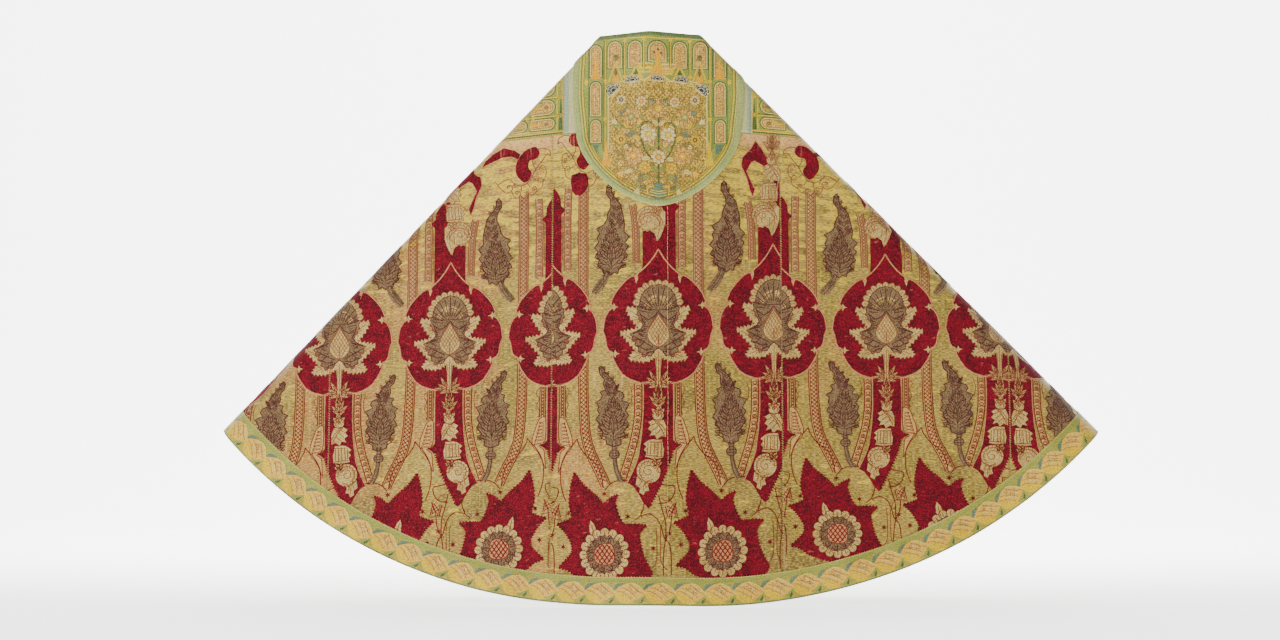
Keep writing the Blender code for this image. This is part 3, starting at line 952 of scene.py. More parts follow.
def medallion():
    """The cusped crimson medallion and the palmette in it."""
    half = cusped(
        [(0, 263.6), (2.6, 268.4), (6.2, 274.0), (12.0, 281.0), (19.2, 287.4)],
        [(19.2, 287.4), (20.4, 293.2)],
        [(20.4, 293.2), (22.8, 289.6), (27.2, 291.0), (32.4, 295.2), (37.4, 300.4)],
        [(37.4, 300.4), (42.0, 306.6), (45.4, 314.6)],
        [(45.4, 314.6), (43.4, 318.0), (47.2, 321.4)],
        [(47.2, 321.4), (50.4, 327.0), (51.8, 333.0), (52.8, 340.4)],
        [(52.8, 340.4), (50.4, 347.0), (49.2, 354.4), (47.0, 358.8)],
        [(47.0, 358.8), (43.0, 361.2), (43.0, 365.8)],
        [(43.0, 365.8), (39.4, 373.0), (34.0, 381.0)],
        [(34.0, 381.0), (26.6, 386.0), (17.0, 389.4)],
        [(17.0, 389.4), (8.0, 390.0), (0, 387.4)],
        sides=4,
    )
    half = np.vstack([half, [(0, 387.4)]])
    edge = both_sides(half)
    outlined(edge, CRIMSON, 1.25, CORD, 0.0, -0.0001)
    for sign in (-1, 1):
        for x, y in ((42.4, 318.2), (41.0, 361.8)):
            spark = np.array([(3.5, 0), (0.8, -1.0), (-0.2, -3.8), (-1.6, -0.9), (-4.6, 0), (-1.6, 1.0),
                              (-0.2, 3.8), (0.8, 1.0)])
            fill((spark + (x, y)) * (sign, 1), CREAM)
        fill(np.array([(19.8, 287.0), (21.8, 290.5), (20.6, 297.0), (18.6, 291.4)]) * (sign, 1), CREAM)
        for outer, inner in (
            ([(17.4, 320.6), (29.6, 319.6), (26.6, 326.6), (23.6, 331.0), (20.6, 334.6), (17.0, 339.4)],
             [(14.0, 335), (15.0, 326)]),
            ([(18.0, 339.4), (26.0, 340.8), (36.0, 342.6), (30.4, 347.4), (27.6, 351.4), (24.0, 355.0),
              (18.8, 360.4)], [(15.6, 358), (18.4, 350), (21, 345)]),
            ([(19.4, 358.0), (24.0, 362.4), (27.0, 367.6), (20.0, 368.8), (12.6, 369.4), (7.6, 367.4),
              (2.8, 364.4)], [(5.2, 361.0), (13.2, 362.6), (15.5, 360.2)]),
        ):
            ragged = toothed(outer, 2.3, 3.7, 0.75)
            leaf_edge = np.vstack([ragged, inner]) * (sign, 1)
            fill(leaf_edge, CREAM)
            strip(leaf_edge[1:-len(inner)], 0.55, LINE)
            middle = np.mean(inner, axis=0)
            for at in outer[1:-1]:
                vein = [middle + (np.array(at) - middle) * share for share in (0.15, 0.78)]
                strip(np.array(vein) * (sign, 1), 0.6, LINE)
    for turn in (-86, -69, -52, -35, -17.5, 0, 17.5, 35, 52, 69, 86):
        at = math.radians(turn - 90)
        petal(*around(0, 316, 17.0, at), at, 6.8, 6.4, CREAM, 0.00005, blunt=0.6)
    fan = [(0, 296.8), (6.8, 298.6), (12.6, 303.4), (16.0, 309.4), (17.6, 316.6), (20.0, 320.0), (18.8, 322.8),
           (20.2, 325.4), (18.0, 327.6), (18.2, 330.6), (15.6, 332.6), (14.0, 336.6), (17.0, 340.0),
           (21.4, 341.8), (26.6, 344.0), (23.8, 346.8), (24.6, 349.8), (21.2, 351.4), (21.8, 354.8),
           (18.4, 356.4), (18.6, 360.4), (15.6, 361.8), (14.0, 365.8), (10.2, 363.6), (6.8, 364.4),
           (4.6, 360.4), (0, 356.0)]
    outlined(both_sides(fan), BROWN, 0.8, SHADE, 0.0, -0.0001)
    for turn in (0, 13, 26, 40, 54, 68, 82):
        for sign in ((-1, 1) if turn else (1,)):
            way = np.array([math.sin(math.radians(turn)) * sign, -math.cos(math.radians(turn))])
            start, end = np.array((0, 325)) + way * 8, np.array((0, 325)) + way * (26.0 - turn * 0.11)
            strip([start, end], 0.8, SHADE)
            if turn % 2 or turn in (26, 54):
                across, ray = np.array((way[1] * 2.2, -way[0] * 2.2)), end - start
                middle = start + ray * 0.55
                fill([start + ray * 0.10, middle + across, start + ray * 0.62, middle - across], CREAM, 0.0003)
    strip(both_sides([(0, 309.4), (5.4, 310.8), (10.0, 315.2), (12.6, 321.0)])[:7], 0.7, SHADE)
    for sign in (-1, 1):
        for x, y, turn, long in ((14.8, 318, 0.0, 6), (12.6, 330, 0.3, 6), (15.5, 342.5, -0.1, 8),
                                 (14.5, 348.5, 0.5, 8), (10.5, 356.0, 0.9, 7), (12.0, 336.5, 0.2, 6)):
            petal((x - long * 0.5) * sign, y, turn if sign > 0 else math.pi - turn, long, 4.6, None, 0.0, SHADE)
        for vein in ([(5, 356), (13, 351.5), (23.5, 345.8)], [(6, 358), (12.5, 358.4), (20, 354.6)],
                     [(4, 359.6), (8.5, 361), (13.0, 363.6)], [(12.6, 335), (15.2, 330), (17.2, 324)],
                     [(11.8, 340), (16.4, 341.4), (23.4, 343.6)], [(13, 351.5), (17, 355.4)],
                     [(17, 348.8), (21.4, 350)], [(13.4, 346.4), (18.6, 344)],
                     [(0, 322.2), (4, 327.4), (9.6, 330.6), (17, 325.6)]):
            strip(np.array(vein) * (sign, 1), 0.95, SHADE)
    cone = both_sides(smooth_run([(0, 324.6), (3.0, 329.6), (7.2, 336.0), (10.2, 343.6), (8.6, 349.4),
                                  (4.4, 353.6), (0, 355.4)], 4))
    outlined(cone, CREAM, 0.7, LINE, 0.0004, 0.0002)
    strip([(0, 343), (0, 355)], 0.7, LINE, 0.0002)

    def reach(y):
        """How far out the cone's crossed lines go at a height."""
        return 10.2 * math.sin(min(1.0, max(0, (y - 324.6) / 31.0)) ** 0.85 * math.pi) ** 0.8 - 0.4

    for start in np.arange(-26, 30, 3.4):
        for sign in (-1, 1):
            line = [(sign * (start + run * 0.62), 325 + run) for run in np.arange(0, 30, 1.0)]
            line = [(x, y) for x, y in line if abs(x) < reach(y)]
            if len(line) > 2:
                strip(line[:: max(1, len(line) // 4)] + [line[-1]], 0.5, LINE, 0.0002)


def star_leaf():
    """The crimson star of serrated leaves and the rosette laid on it, left of its medallion."""
    tips = [
        [(79.9, 471.0), (82.6, 480), (84.4, 490)],
        [(84.4, 490), (84.8, 501), (81.6, 512.4)],
        [(81.6, 512.4), (88, 515.6), (97.2, 518.2)],
        [(97.2, 518.2), (90.6, 523.8), (86.0, 530)],
        [(86.0, 530), (82.0, 538), (82.2, 545.0)],
        [(82.2, 545.0), (87, 550.4), (95.0, 558)],
        [(95.0, 558), (86, 560.6), (78, 567)],
        [(78, 567), (66, 571.5), (56, 574)],
        [(56, 574), (36, 574), (14, 572)],
        [(14, 572), (9, 569), (5.8, 563.4)],
        [(5.8, 563.4), (11, 554), (14.6, 546)],
        [(14.6, 546), (16.6, 537), (18.0, 528.8)],
        [(18.0, 528.8), (15, 524.4), (11.0, 520.4)],
        [(11.0, 520.4), (20, 519.6), (32.4, 519.8)],
        [(32.4, 519.8), (37.2, 511), (40.4, 500.6)],
        [(40.4, 500.6), (39.6, 496.4), (37.6, 492.4)],
        [(37.6, 492.4), (44.8, 495.2), (51.4, 501.0)],
        [(51.4, 501.0), (60.8, 491.4), (70.0, 484.0)],
        [(70.0, 484.0), (75.2, 478), (79.9, 471.0)],
    ]
    outline = []
    for tip in tips:
        outline.extend(toothed(smooth_run(tip, 3), 1.5, 2.7)[:-1])
    fill(outline, CRIMSON)
    x, y = 50.4, 547.0
    for turn in np.linspace(0, 2 * math.pi, 16, endpoint=False):
        petal(*around(x, y, 15.2, turn), turn, 9.2, 8.0, CREAM, blunt=1.0)
    petal(60.4, 530.0, -1.32, 15.4, 7.4, CREAM, 0.0001)
    ring = []
    for turn in np.linspace(0, 2 * math.pi, 22, endpoint=False):
        ring += [around(x, y, 15.8, turn), around(x, y, 18.2, turn + 0.14)]
    outlined(ring, BROWN, 0.6, SHADE, 0.0001)
    for turn in np.linspace(0, 2 * math.pi, 11, endpoint=False):
        petal(*around(x, y, 9.0, turn), turn + 0.7, 9.6, 6.0, None, 0.0001, SHADE)
        strip(spiral(*around(x, y, 13.4, turn + 0.28), 2.6, 0.6, turn, turn + 5.0, 7), 0.6, SHADE, 0.0001)
    heart = np.array([(9.0, 6.0), (1.0, 9.8), (-8.4, 7.6), (-9.4, -2), (-6.4, -9.0), (2.4, -9.6),
                      (9.4, -4.0)]) + (x, y)
    outlined(smooth_run(heart, 3, closed=True), CORD, 0.8, LINE, 0.0003, 0.0005)
    for offset in np.arange(-7.2, 7.3, 3.6):
        reach = math.sqrt(9.2**2 - offset**2)
        for sign in (-1, 1):
            middle, way = np.array([x + offset * 0.8, y - sign * offset * 0.6]), np.array([sign * 0.6, 0.8])
            strip([middle - way * reach, middle + way * reach], 1.1, LINE, 0.0005)
    for x, y in ((51.0, 491.4), (28.4, 512.5), (85.8, 508.5), (90.6, 539.1), (101.5, 528.0), (5.0, 541.0)):
        for turn in (0, 1, 2):
            way = heading(turn * math.pi / 3 + 0.5) * 2.7
            strip([np.array((x, y)) - way, (x, y), np.array((x, y)) + way], (0.5, 1.5, 0.5), CRIMSON, -0.0004)


def stem_field():
    """The crimson on which the stem stands, with its barb and its serrated tail."""
    inner = toothed([(-15.0, 452.0), (-13.4, 459), (-10.0, 469), (-5.2, 480), (0.7, 492), (5.5, 501.5)], 2.2,
                    2.8)
    outline = np.vstack([
        [(14.0, 384), (13.8, 396), (14.0, 416), (15.3, 435), (18.4, 457.6), (21.4, 466), (24.8, 473.6),
         (28.8, 481.6), (23.4, 484.6), (18.6, 491.2), (14.2, 499.4), (9.4, 504.6)],
        inner[::-1],
        [(-16.4, 450.0), (-21.4, 447.4), (-17.2, 446.2), (-14.0, 443.0), (-13.8, 384)],
    ])
    fill(outline, CRIMSON)
    strip([(14.0, 388), (13.8, 396), (14.0, 416), (15.3, 435), (18.4, 457.6), (21.4, 466), (24.8, 473.6),
           (28.8, 481.6)], 0.8, CORD)
    strip([(-13.9, 388), (-14.0, 443)], 0.8, CORD)


def stem(rise, foot_leaf=True):
    """The stem: a bow, a burst, a leafy figure, a ribbed urn, a volute and a hooked leaf."""
    def spray(foot, tips, wide, lift=0.0):
        for x, y in tips:
            reach = np.array((x - foot[0], y - foot[1]), float)
            petal(foot[0], foot[1] - rise, math.atan2(reach[1], reach[0]), np.linalg.norm(reach), wide, CREAM,
                  lift)

    def lifted(points):
        return np.asarray(points, float) - (0, rise)

    if foot_leaf:
        fill(both_sides([(0, 357), (3.4, 359), (4.6, 362.6), (3.0, 367), (2.4, 375), (2.2, 392), (0, 392)]),
             CREAM, 0.0002)
        strip([(0, 360), (0, 390)], 0.5, LINE, 0.0002)
        for sign in (-1, 1):
            strip([(2.2 * sign, 366), (2.0 * sign, 388)], 0.5, LINE, 0.0002)
            spray((1.6 * sign, 390.5), ((8.6 * sign, 377.0), (5.0 * sign, 380.0), (14.2 * sign, 388.4),
                                        (9.4 * sign, 393.6), (11.4 * sign, 384.0)), 3.8, 0.0001)
            strip(spiral(9.4 * sign, 391.0, 2.6, 0.6, 0.4, 5.2 * sign, 8), 0.5, LINE, 0.0003)
        spray((0, 389), ((0, 400), (-3, 397.5), (3, 397.5)), 3.0)
    strip(lifted([(0.2, 392), (0.2, 402), (-0.4, 414)]), (3.0, 3.4, 4.6), CREAM)
    spray((0.2, 409), ((9.0, 401.0), (5.0, 396.0), (0.6, 390.6), (-3.8, 396.0), (-7.6, 400.8), (6.2, 407.0),
                       (-6.4, 406.0)), 3.6)
    spray((0.0, 419), ((6.4, 412.6), (-5.6, 412.6), (0.4, 409.6)), 5.2)
    fill(lifted(circle(0.4, 418.6, 5.6)), CREAM, 0.0001)
    strip(lifted(circle(0.4, 418.6, 5.4)), 0.5, LINE, 0.0001, closed=True)
    strip(lifted(spiral(0.2, 418.8, 3.6, 0.6, 2.4, 8.4, 14)), 0.6, LINE, 0.0001)
    body = [(4.6, 422.6), (9.6, 425.4), (7.2, 428.4), (10.0, 431.6), (6.4, 434.4), (8.6, 438.4), (3.6, 437.2),
            (1.6, 441.4), (-2.6, 438.2), (-7.0, 439.6), (-7.4, 429.6), (-4.8, 423.2)]
    outlined(lifted(body), CREAM, 0.5, LINE)
    for line in ([(4.6, 422.8), (-1.0, 429.0), (-5.8, 438.2)], [(2.4, 426.0), (6.6, 428.2)],
                 [(0.2, 428.8), (5.6, 433.0)], [(-2.4, 432.0), (2.6, 436.6)],
                 [(1.2, 424.0), (-4.0, 429.6), (-6.6, 434.0)]):
        strip(lifted(line), 0.6, LINE)
    for share in np.linspace(0.1, 0.9, 6):
        fill(lifted(circle(3.0 - 9.0 * share, 423.0 + 13.0 * share, 0.6, 4)), LINE, 0.0001)
    urn = [(-3.4, 441.2), (4.4, 440.8), (8.7, 441.6), (14.0, 445.6), (11.2, 448.0), (13.6, 451.1),
           (11.2, 453.6), (12.6, 457.6), (4.0, 459.4), (-4.4, 458.0), (-5.4, 450.4), (-4.4, 447.4)]
    outlined(lifted(urn), CREAM, 0.5, LINE)
    for line in ([(-3.8, 443.6), (8.0, 443.6)], [(-2.6, 444), (-2.4, 456.2)], [(0.4, 444), (0.8, 456.6)],
                 [(3.6, 444), (4.2, 456.8)], [(6.8, 444), (7.8, 456.4)], [(-3.8, 457.0), (11.6, 456.0)],
                 [(9.6, 444.6), (10.2, 455.0)]):
        strip(lifted(line), 0.6, LINE)
    for y in np.arange(445.5, 456, 2.6):
        fill(lifted(circle(2.3, y, 0.6, 4)), LINE, 0.0001)
    fill(lifted(circle(9.2, 470.6, 11.4, 20)), CREAM)
    strip(lifted(circle(9.2, 470.6, 11.2, 20)), 0.5, LINE, 0.0, closed=True)
    spray((4.0, 466), ((-3.6, 462.0), (-2.6, 458.6), (3.4, 457.8)), 4.0)
    strip(lifted(spiral(9.2, 470.6, 8.8, 8.4, -math.pi * 1.05, 0.9, 16)), 0.6, LINE)
    strip(lifted(spiral(9.2, 470.6, 6.2, 1.0, -2.8, 5.4, 24)), 0.6, LINE)
    for turn in np.linspace(-3.2, 0.8, 11):
        strip(lifted([around(9.2, 470.6, 8.8, turn), around(9.2, 470.6, 11.0, turn)]), 0.5, LINE)
        fill(lifted(circle(*around(9.2, 470.6, 7.4, turn + 0.15), 0.6, 4)), LINE)
    return lifted


def hooked_leaf():
    """The small hooked leaf under the lower volute."""
    shape = [(5.4, 478.0), (12.0, 480.6), (19.8, 475.6), (21.2, 483.6), (17.2, 486.4), (17.8, 490.6),
             (13.6, 493.0), (12.2, 489.4), (8.4, 488.4), (9.6, 483.4)]
    outlined(shape, CREAM, 0.5, LINE)
    for line in ([(9, 479.6), (14, 484), (14, 490)], [(15.6, 479.6), (17.6, 484.6)],
                 [(12.6, 481.2), (11.2, 486.0)]):
        strip(line, 0.5, LINE)


def upper_stem():
    """The end of the stem above: a pointed crimson frame, and a volute bent over a flame leaf."""
    fill([(-16.6, 266), (-16.5, 246), (-16.5, 229), (-20.2, 224.6), (-16.0, 220.6), (-15.4, 213.4),
          (-12.6, 207.6), (-9.0, 203.4), (-4.8, 206.6), (-4.6, 214), (-2.2, 222), (-6.0, 230), (-4.4, 246),
          (-1.4, 253.6), (1.2, 256.6), (3.6, 249.4), (8.0, 246.4), (14.0, 247.4), (14.4, 266), (14.8, 283.2),
          (9, 277.4), (0, 263), (-9, 277.4), (-16.6, 285.0)], CRIMSON)
    bracket = [(16.4, 164.7), (20.4, 171.5), (29.4, 180.4), (30.4, 188.6), (25.4, 199.0), (22.4, 211.0),
               (19.6, 217.6), (17.2, 211.2), (21.4, 202.3), (25.2, 193.7), (20.8, 185.6), (17.4, 184.0),
               (9.2, 188.9), (3.5, 194.7), (-1.0, 203.3), (-0.8, 213), (-4.4, 215.0), (-5.6, 204.4),
               (2.4, 187.0), (10.2, 172.4)]
    outlined(bracket, CRIMSON, 0.6, CORD, 0.0, -0.0003)
    stem(235, foot_leaf=False)
    flame = [(-6.4, 229), (-6.4, 240), (-4.6, 246), (-1.6, 252.6), (1.2, 255.6), (3.4, 249.0), (8.2, 245.6),
             (9.6, 248.0), (13.8, 246.4), (17.8, 238.0), (16.0, 230), (8, 226), (-1, 225)]
    fill(flame, CREAM, 0.0002)
    for out in (11.8, 9.0):
        strip(spiral(7.6, 241.4, out, out, -math.pi * 0.98, -0.1, 14), 0.6, LINE, 0.0002)
    for turn in np.linspace(-2.95, -0.25, 9):
        strip([around(7.6, 241.4, 9.2, turn), around(7.6, 241.4, 11.6, turn)], 0.6, CORD, 0.0002)
    for line in ([(-2, 236), (-1, 246), (1, 252)], [(3, 238), (3.4, 246)], [(10, 234), (11.4, 243)]):
        strip(line, 0.5, LINE, 0.0002)
    strip([(14.6, 264), (14.4, 240), (16.8, 232)], 0.7, LINE, -0.0008)
    strip([(-17.6, 272), (-17.6, 230)], 0.7, LINE, -0.0008)
    chain([(-22.6, 282), (-22.6, 262), (-22.4, 236), (-23.0, 214), (-23.4, 204)], 2.7, 6.6)
    diaper([(20.4, 278), (20.6, 262), (21.6, 240), (24.4, 222)], 3.2, 3.4)


def bands():
    """The shelled band beside each stem, the barbed band, and the long diapered band."""
    chain([(18.8, 390), (18.6, 404), (19.0, 420), (20.8, 434), (24.0, 448), (28.4, 462), (33.6, 478)], 2.7, 6.2)
    diaper([(-18.4, 390), (-18.6, 404), (-18.6, 420)], 2.8, 3.2)
    for line in ([(-22.6, 392), (-25.2, 396), (-22.2, 402), (-24.4, 408), (-21.6, 414), (-22.8, 420)],
                 [(26.6, 392), (24.4, 400), (26.0, 410)]):
        strip(smooth_run(line, 3), 0.6, LINE, -0.0010)
    bulge = smooth_run([(-15.6, 420.8), (-21.6, 421.8), (-25.2, 429.8), (-28.4, 439.5), (-28.2, 447.6),
                        (-23.0, 453.8), (-18.8, 461.5), (-15.0, 470.4), (-16.0, 461.0), (-17.0, 452.0),
                        (-21.8, 447.8), (-16.0, 443.4)], 3, closed=True)
    outlined(bulge, BAND_GROUND, 0.7, LINE, 0.0, -0.0009)
    for y in np.arange(424, 446, 3.4):
        out = 20.8 + (y - 421) * 0.26
        strip([(-16.6, y), (-out, y + 2.6)], 0.5, LINE, -0.0009)
        strip([(-out, y), (-16.6, y + 2.6)], 0.5, LINE, -0.0009)
        fill(circle(-out + 0.6, y + 1.4, 0.8, 5), LINE, -0.0009)
    diaper([(72.6, 200), (72.8, 230), (72.8, 270), (72.4, 310), (72.1, 369), (71.8, 395), (70.9, 417),
            (68.8, 438), (64.4, 453), (57.8, 466.3), (52.6, 477), (49.6, 484)], 4.6, 4.1)


def capital():
    """The foliate capital that tops each long band, with the crimson knob above it."""
    knob = [(84.4, 152.0), (88.0, 158.4), (84.0, 163.8), (78.0, 165.4), (76.6, 172.0), (80.0, 177.6),
            (77.8, 184.0), (72.6, 187.0), (67.6, 182.6), (64.2, 176.6), (64.8, 168.0), (69.6, 159.0),
            (77.0, 153.4)]
    fill(smooth_run(knob, 3, closed=True), CRIMSON)
    fill([(52, 151.6), (63, 154.6), (68.6, 158.6), (66.4, 163.4), (60.0, 160.4), (50.6, 161.0), (38.0, 166.2),
          (31.0, 170.0), (33.6, 164.4), (41.4, 157.6)], CRIMSON)
    scroll = [
        [(43.4, 184.6), (46.4, 188.4), (52.4, 184.6), (58.0, 183.4), (62.6, 187.4), (69.6, 190.4),
         (75.8, 187.6), (80.4, 181.6), (84.2, 174.0), (90.4, 166.4)],
        [(46.4, 188.4), (50.0, 193.6), (55.4, 197.0), (60.0, 195.0), (61.4, 191.0), (57.6, 189.6),
         (55.4, 192.0)],
        [(60.0, 195.0), (62.4, 200.4), (66.0, 202.4), (68.8, 199.0), (67.4, 195.2), (64.4, 196.4)],
        [(68.8, 199.0), (72.0, 203.4), (76.0, 202.4), (77.2, 198.0), (74.4, 195.6)],
        [(77.2, 198.0), (81.4, 200.2), (85.0, 196.6), (84.2, 191.8), (80.8, 192.4)],
        [(85.0, 196.6), (90.4, 192.4), (91.4, 185.6), (88.0, 182.8), (85.4, 186.0)],
        [(90.6, 187.0), (94.4, 181.0), (93.8, 173.0), (90.0, 170.4), (87.4, 175.2)],
        [(62.6, 187.4), (63.6, 192.0)], [(69.6, 190.4), (70.0, 196.0)], [(75.8, 187.6), (79.0, 192.4)],
        [(80.4, 181.6), (84.6, 185.0)],
        [(84.6, 176.0), (80.6, 166.0), (84.4, 156.4), (90.8, 153.4), (97.6, 156.0), (99.0, 161.4)],
        [(90.4, 166.4), (95.0, 160.0), (99.0, 161.4)],
    ]
    for line in scroll:
        strip(smooth_run(line, 3), 0.75, LINE, -0.0009)
    for x, y in ((56.8, 190.8), (65.4, 196.8), (73.8, 198.4), (82.0, 194.6), (88.0, 187.0), (91.0, 176.4)):
        strip(circle(x, y, 1.5, 7), 0.5, LINE, -0.0009, closed=True)


ARTICHOKES = (
    # the outline from its tip down one side and up the other, its leaves' feet, its stalk, its knot
    (
        [(47.6, 201.6), (49.8, 205.0), (50.4, 211.0), (46.2, 216.8), (45.6, 223.8), (48.8, 230.6),
         (49.6, 236.0), (52.6, 240.4), (59.8, 244.0), (56.6, 248.0), (59.2, 252.6), (57.4, 256.6),
         (61.8, 262.0), (58.0, 265.6), (61.4, 271.0), (57.2, 273.6), (58.4, 279.6), (54.0, 281.0),
         (52.8, 286.6), (49.6, 284.6), (45.5, 288.6), (42.0, 285.4), (38.6, 287.4), (37.4, 281.8),
         (33.2, 279.0), (34.6, 275.0), (28.8, 270.4), (31.6, 266.4), (28.0, 261.4), (31.4, 258.0),
         (27.4, 252.4), (32.6, 247.6), (32.0, 240.0), (33.8, 231.2), (36.0, 222.0), (40.6, 216.4),
         (44.9, 210.6), (45.4, 204.1)],
        (45.0, 283.0, 30.0), [(48.6, 284), (51.2, 291), (56.4, 298.6), (62.4, 304.6)], (7.2, 6.6, 8.4, 6.0),
        None,
    ),
    (
        [(54.6, 372.6), (57.0, 375.1), (55.4, 381.2), (51.4, 385.2), (52.2, 390.6), (50.2, 395.4),
         (55.4, 397.2), (53.2, 401.0), (54.6, 404.2), (60.0, 406.8), (56.4, 410.4), (57.8, 414.0),
         (56.0, 417.6), (59.6, 423.4), (55.8, 426.0), (57.2, 430.6), (52.6, 432.6), (52.8, 437.6),
         (49.8, 439.4), (49.0, 445.8), (41.4, 448.2), (34.7, 446.3), (35.6, 440.4), (30.6, 438.4),
         (32.4, 433.6), (27.2, 428.4), (30.0, 423.6), (27.6, 419.0), (30.8, 415.4), (26.8, 408.2),
         (34.4, 405.4), (31.8, 401.6), (34.0, 398.0), (39.4, 396.4), (40.4, 391.0), (45.0, 384.6),
         (50.0, 379.6), (52.2, 375.6)],
        (42.4, 442.0, 30.0), [(41.6, 444), (41.2, 458), (40.2, 466), (38.4, 473), (34.4, 480.6)],
        (8.0, 4.4, 4.2, 5.0, 5.2), (41.4, 455.4),
    ),
)


def artichoke(outline, heart, stalk, stalk_width, knot):
    """A grey-brown artichoke with a long curled tip, its leaves drawn in dark brown."""
    strip(stalk, stalk_width, BROWN, -0.0004)
    for offset in (-1.6, 1.6):
        strip(np.asarray(stalk, float) + (offset, 0), 0.5, SHADE, -0.0003)
    if knot:
        fill(circle(*knot, 5.2, 12, 0.85), BROWN, -0.0002)
        strip(circle(*knot, 5.0, 10, 0.85), 0.8, SHADE, -0.0001, closed=True)
        for drop in (-1.4, 1.2):
            strip([(knot[0] - 4.6, knot[1] + drop), (knot[0] + 4.6, knot[1] + drop)], 0.6, SHADE, -0.0001)
    outlined(outline, BROWN, 0.9, SHADE, -0.0004, -0.0002)
    x, y, tall = heart
    petal(x, y - tall * 0.95, UP, 12, 5.0, None, -0.0003, SHADE)
    petal(x, y, UP, tall * 0.9, 9.0, None, -0.0003, SHADE)
    almond = [(x, y - 4), (x - 1.6, y - tall * 0.4), (x, y - tall * 0.78), (x + 1.6, y - tall * 0.4),
              (x, y - 4)]
    strip(smooth_run(almond, 3), 0.5, SHADE, -0.0003)
    for sign in (-1, 1):
        for rise, lean, long, wide in (
            (0.0, 1.15, 15, 6.0), (0.10, 0.85, 17, 6.4), (0.30, 0.80, 15, 6.0), (0.48, 0.75, 13.5, 5.6),
            (0.66, 0.62, 12, 5.2), (0.84, 0.5, 10.0, 4.4), (1.02, 0.35, 9, 3.8),
        ):
            petal(x + sign * 1.2, y - tall * rise, UP + sign * lean, long, wide, None, -0.0003, SHADE)
        for rise, out in ((0.12, 12.4), (0.34, 13.6), (0.56, 12.0), (0.78, 9.6), (0.98, 6.2)):
            strip(spiral(x + sign * out, y - tall * rise, 2.6, 1.0, 0.4, 5.2, 7), 0.7, SHADE, -0.0003)
    for n in range(1, 8):
        one, other = np.array(outline[n]), np.array(outline[-1 - n])
        middle, reach = (one + other) / 2, np.linalg.norm(one - other) / 2
        for sign in (-1, 1):
            petal(*middle, UP + sign * 0.65, reach * 0.8 + 1.6, 2.8, None, -0.0003, SHADE)


def outlines():
    """The fine lines of the pointed arches, lobes and tails drawn on the gold."""
    fine = [
        smooth_run([(77.6, 440), (80.6, 444), (86.4, 450), (92.4, 461), (94.0, 474), (92.6, 486), (88.6, 497)],
                   4),
        smooth_run([(77.6, 440), (75.6, 446.4), (68.4, 456), (58.8, 464), (53.8, 475), (51.8, 486)], 4),
        smooth_run([(50.6, 488), (43.4, 481.2), (33, 479.2), (22.8, 482.0), (15.4, 490), (13.2, 500),
                    (16.4, 511), (22, 516)], 4),
        smooth_run([(16, 512), (8.4, 509.6), (1.4, 514), (-2.6, 522), (-5.0, 531), (-10.0, 538), (-11.6, 550),
                    (-11.6, 566)], 4),
        smooth_run([(94.6, 500), (98.6, 510), (100.4, 524), (104.6, 534), (106.6, 548), (106.6, 566)], 4),
        smooth_run([(111, 492), (108, 505), (104.6, 518), (104.6, 534)], 4),
        smooth_run([(111, 482), (101.6, 484), (96, 486), (97.6, 494), (103, 499), (111, 500)], 4),
    ]
    for line in fine:
        strip(line, 0.95, LINE, -0.0010)
    diaper([(-10.6, 501.8), (-13.2, 513.2)], 4.4, 3.8)
    veins = ([(-18.6, 514.4), (-7.6, 513.0), (-2.0, 521.6), (-1.8, 529), (-1.6, 548), (-3.4, 556), (-9.0, 562)],
             [(2.4, 521.6), (1.8, 529), (1.6, 548), (3.4, 556), (9.0, 562)],
             [(14.0, 505.4), (16.4, 509), (15.4, 514)],
             [(98.6, 500), (104.4, 493), (111, 492)], [(97.6, 494), (103, 499.4), (110, 499)],
             [(99.0, 497.0), (104.6, 497.6), (108.6, 494.6)])
    for line in veins:
        strip(smooth_run(line, 3), 0.6, LINE, -0.0010)


stem_field()
bands()
for parts in ARTICHOKES:
    artichoke(*parts)
capital()
upper_stem()
outlines()
star_leaf()
medallion()
stem(0)
hooked_leaf()

COLUMNS = {
    # loom: the first medallion's u, which way its stem leans, and how tall the figure is woven
    "far_left": (-1.1515 - REPEAT, 1, 1.00),
    "left": (-0.853, 1, 1.00),
    "centre": (-0.3025, -1, 1.05),
    "right": (0.2915, -1, 0.970),
    "far_right": (0.9355, 1, 0.98),
}
ASKEW = (
    # u, and how far the figure is dropped there
    (-1.5, -0.020),
    (-0.853, -0.018),
    (-0.5546, 0.0),
    (-0.004, 0.034),
    (0.2945, -0.004),
    (0.590, -0.028),
    (0.8885, -0.054),
    (1.5, -0.060),
)
HOOD_CENTRE, HOOD_HALF, HOOD_STRAIGHT, HOOD_LENGTH, HOOD_ROUND = -0.004, 0.215, 0.260, 0.469, 1.55


def under_hood(flat, inset):
    """Which flat points lie under the hood, a little inside its edge."""
    across = np.abs(flat[:, 0] - HOOD_CENTRE) / (HOOD_HALF - inset)
    down = np.clip((flat[:, 1] - HOOD_STRAIGHT) / (HOOD_LENGTH - HOOD_STRAIGHT - inset), 0, None)
    return across**HOOD_ROUND + down**HOOD_ROUND < 1


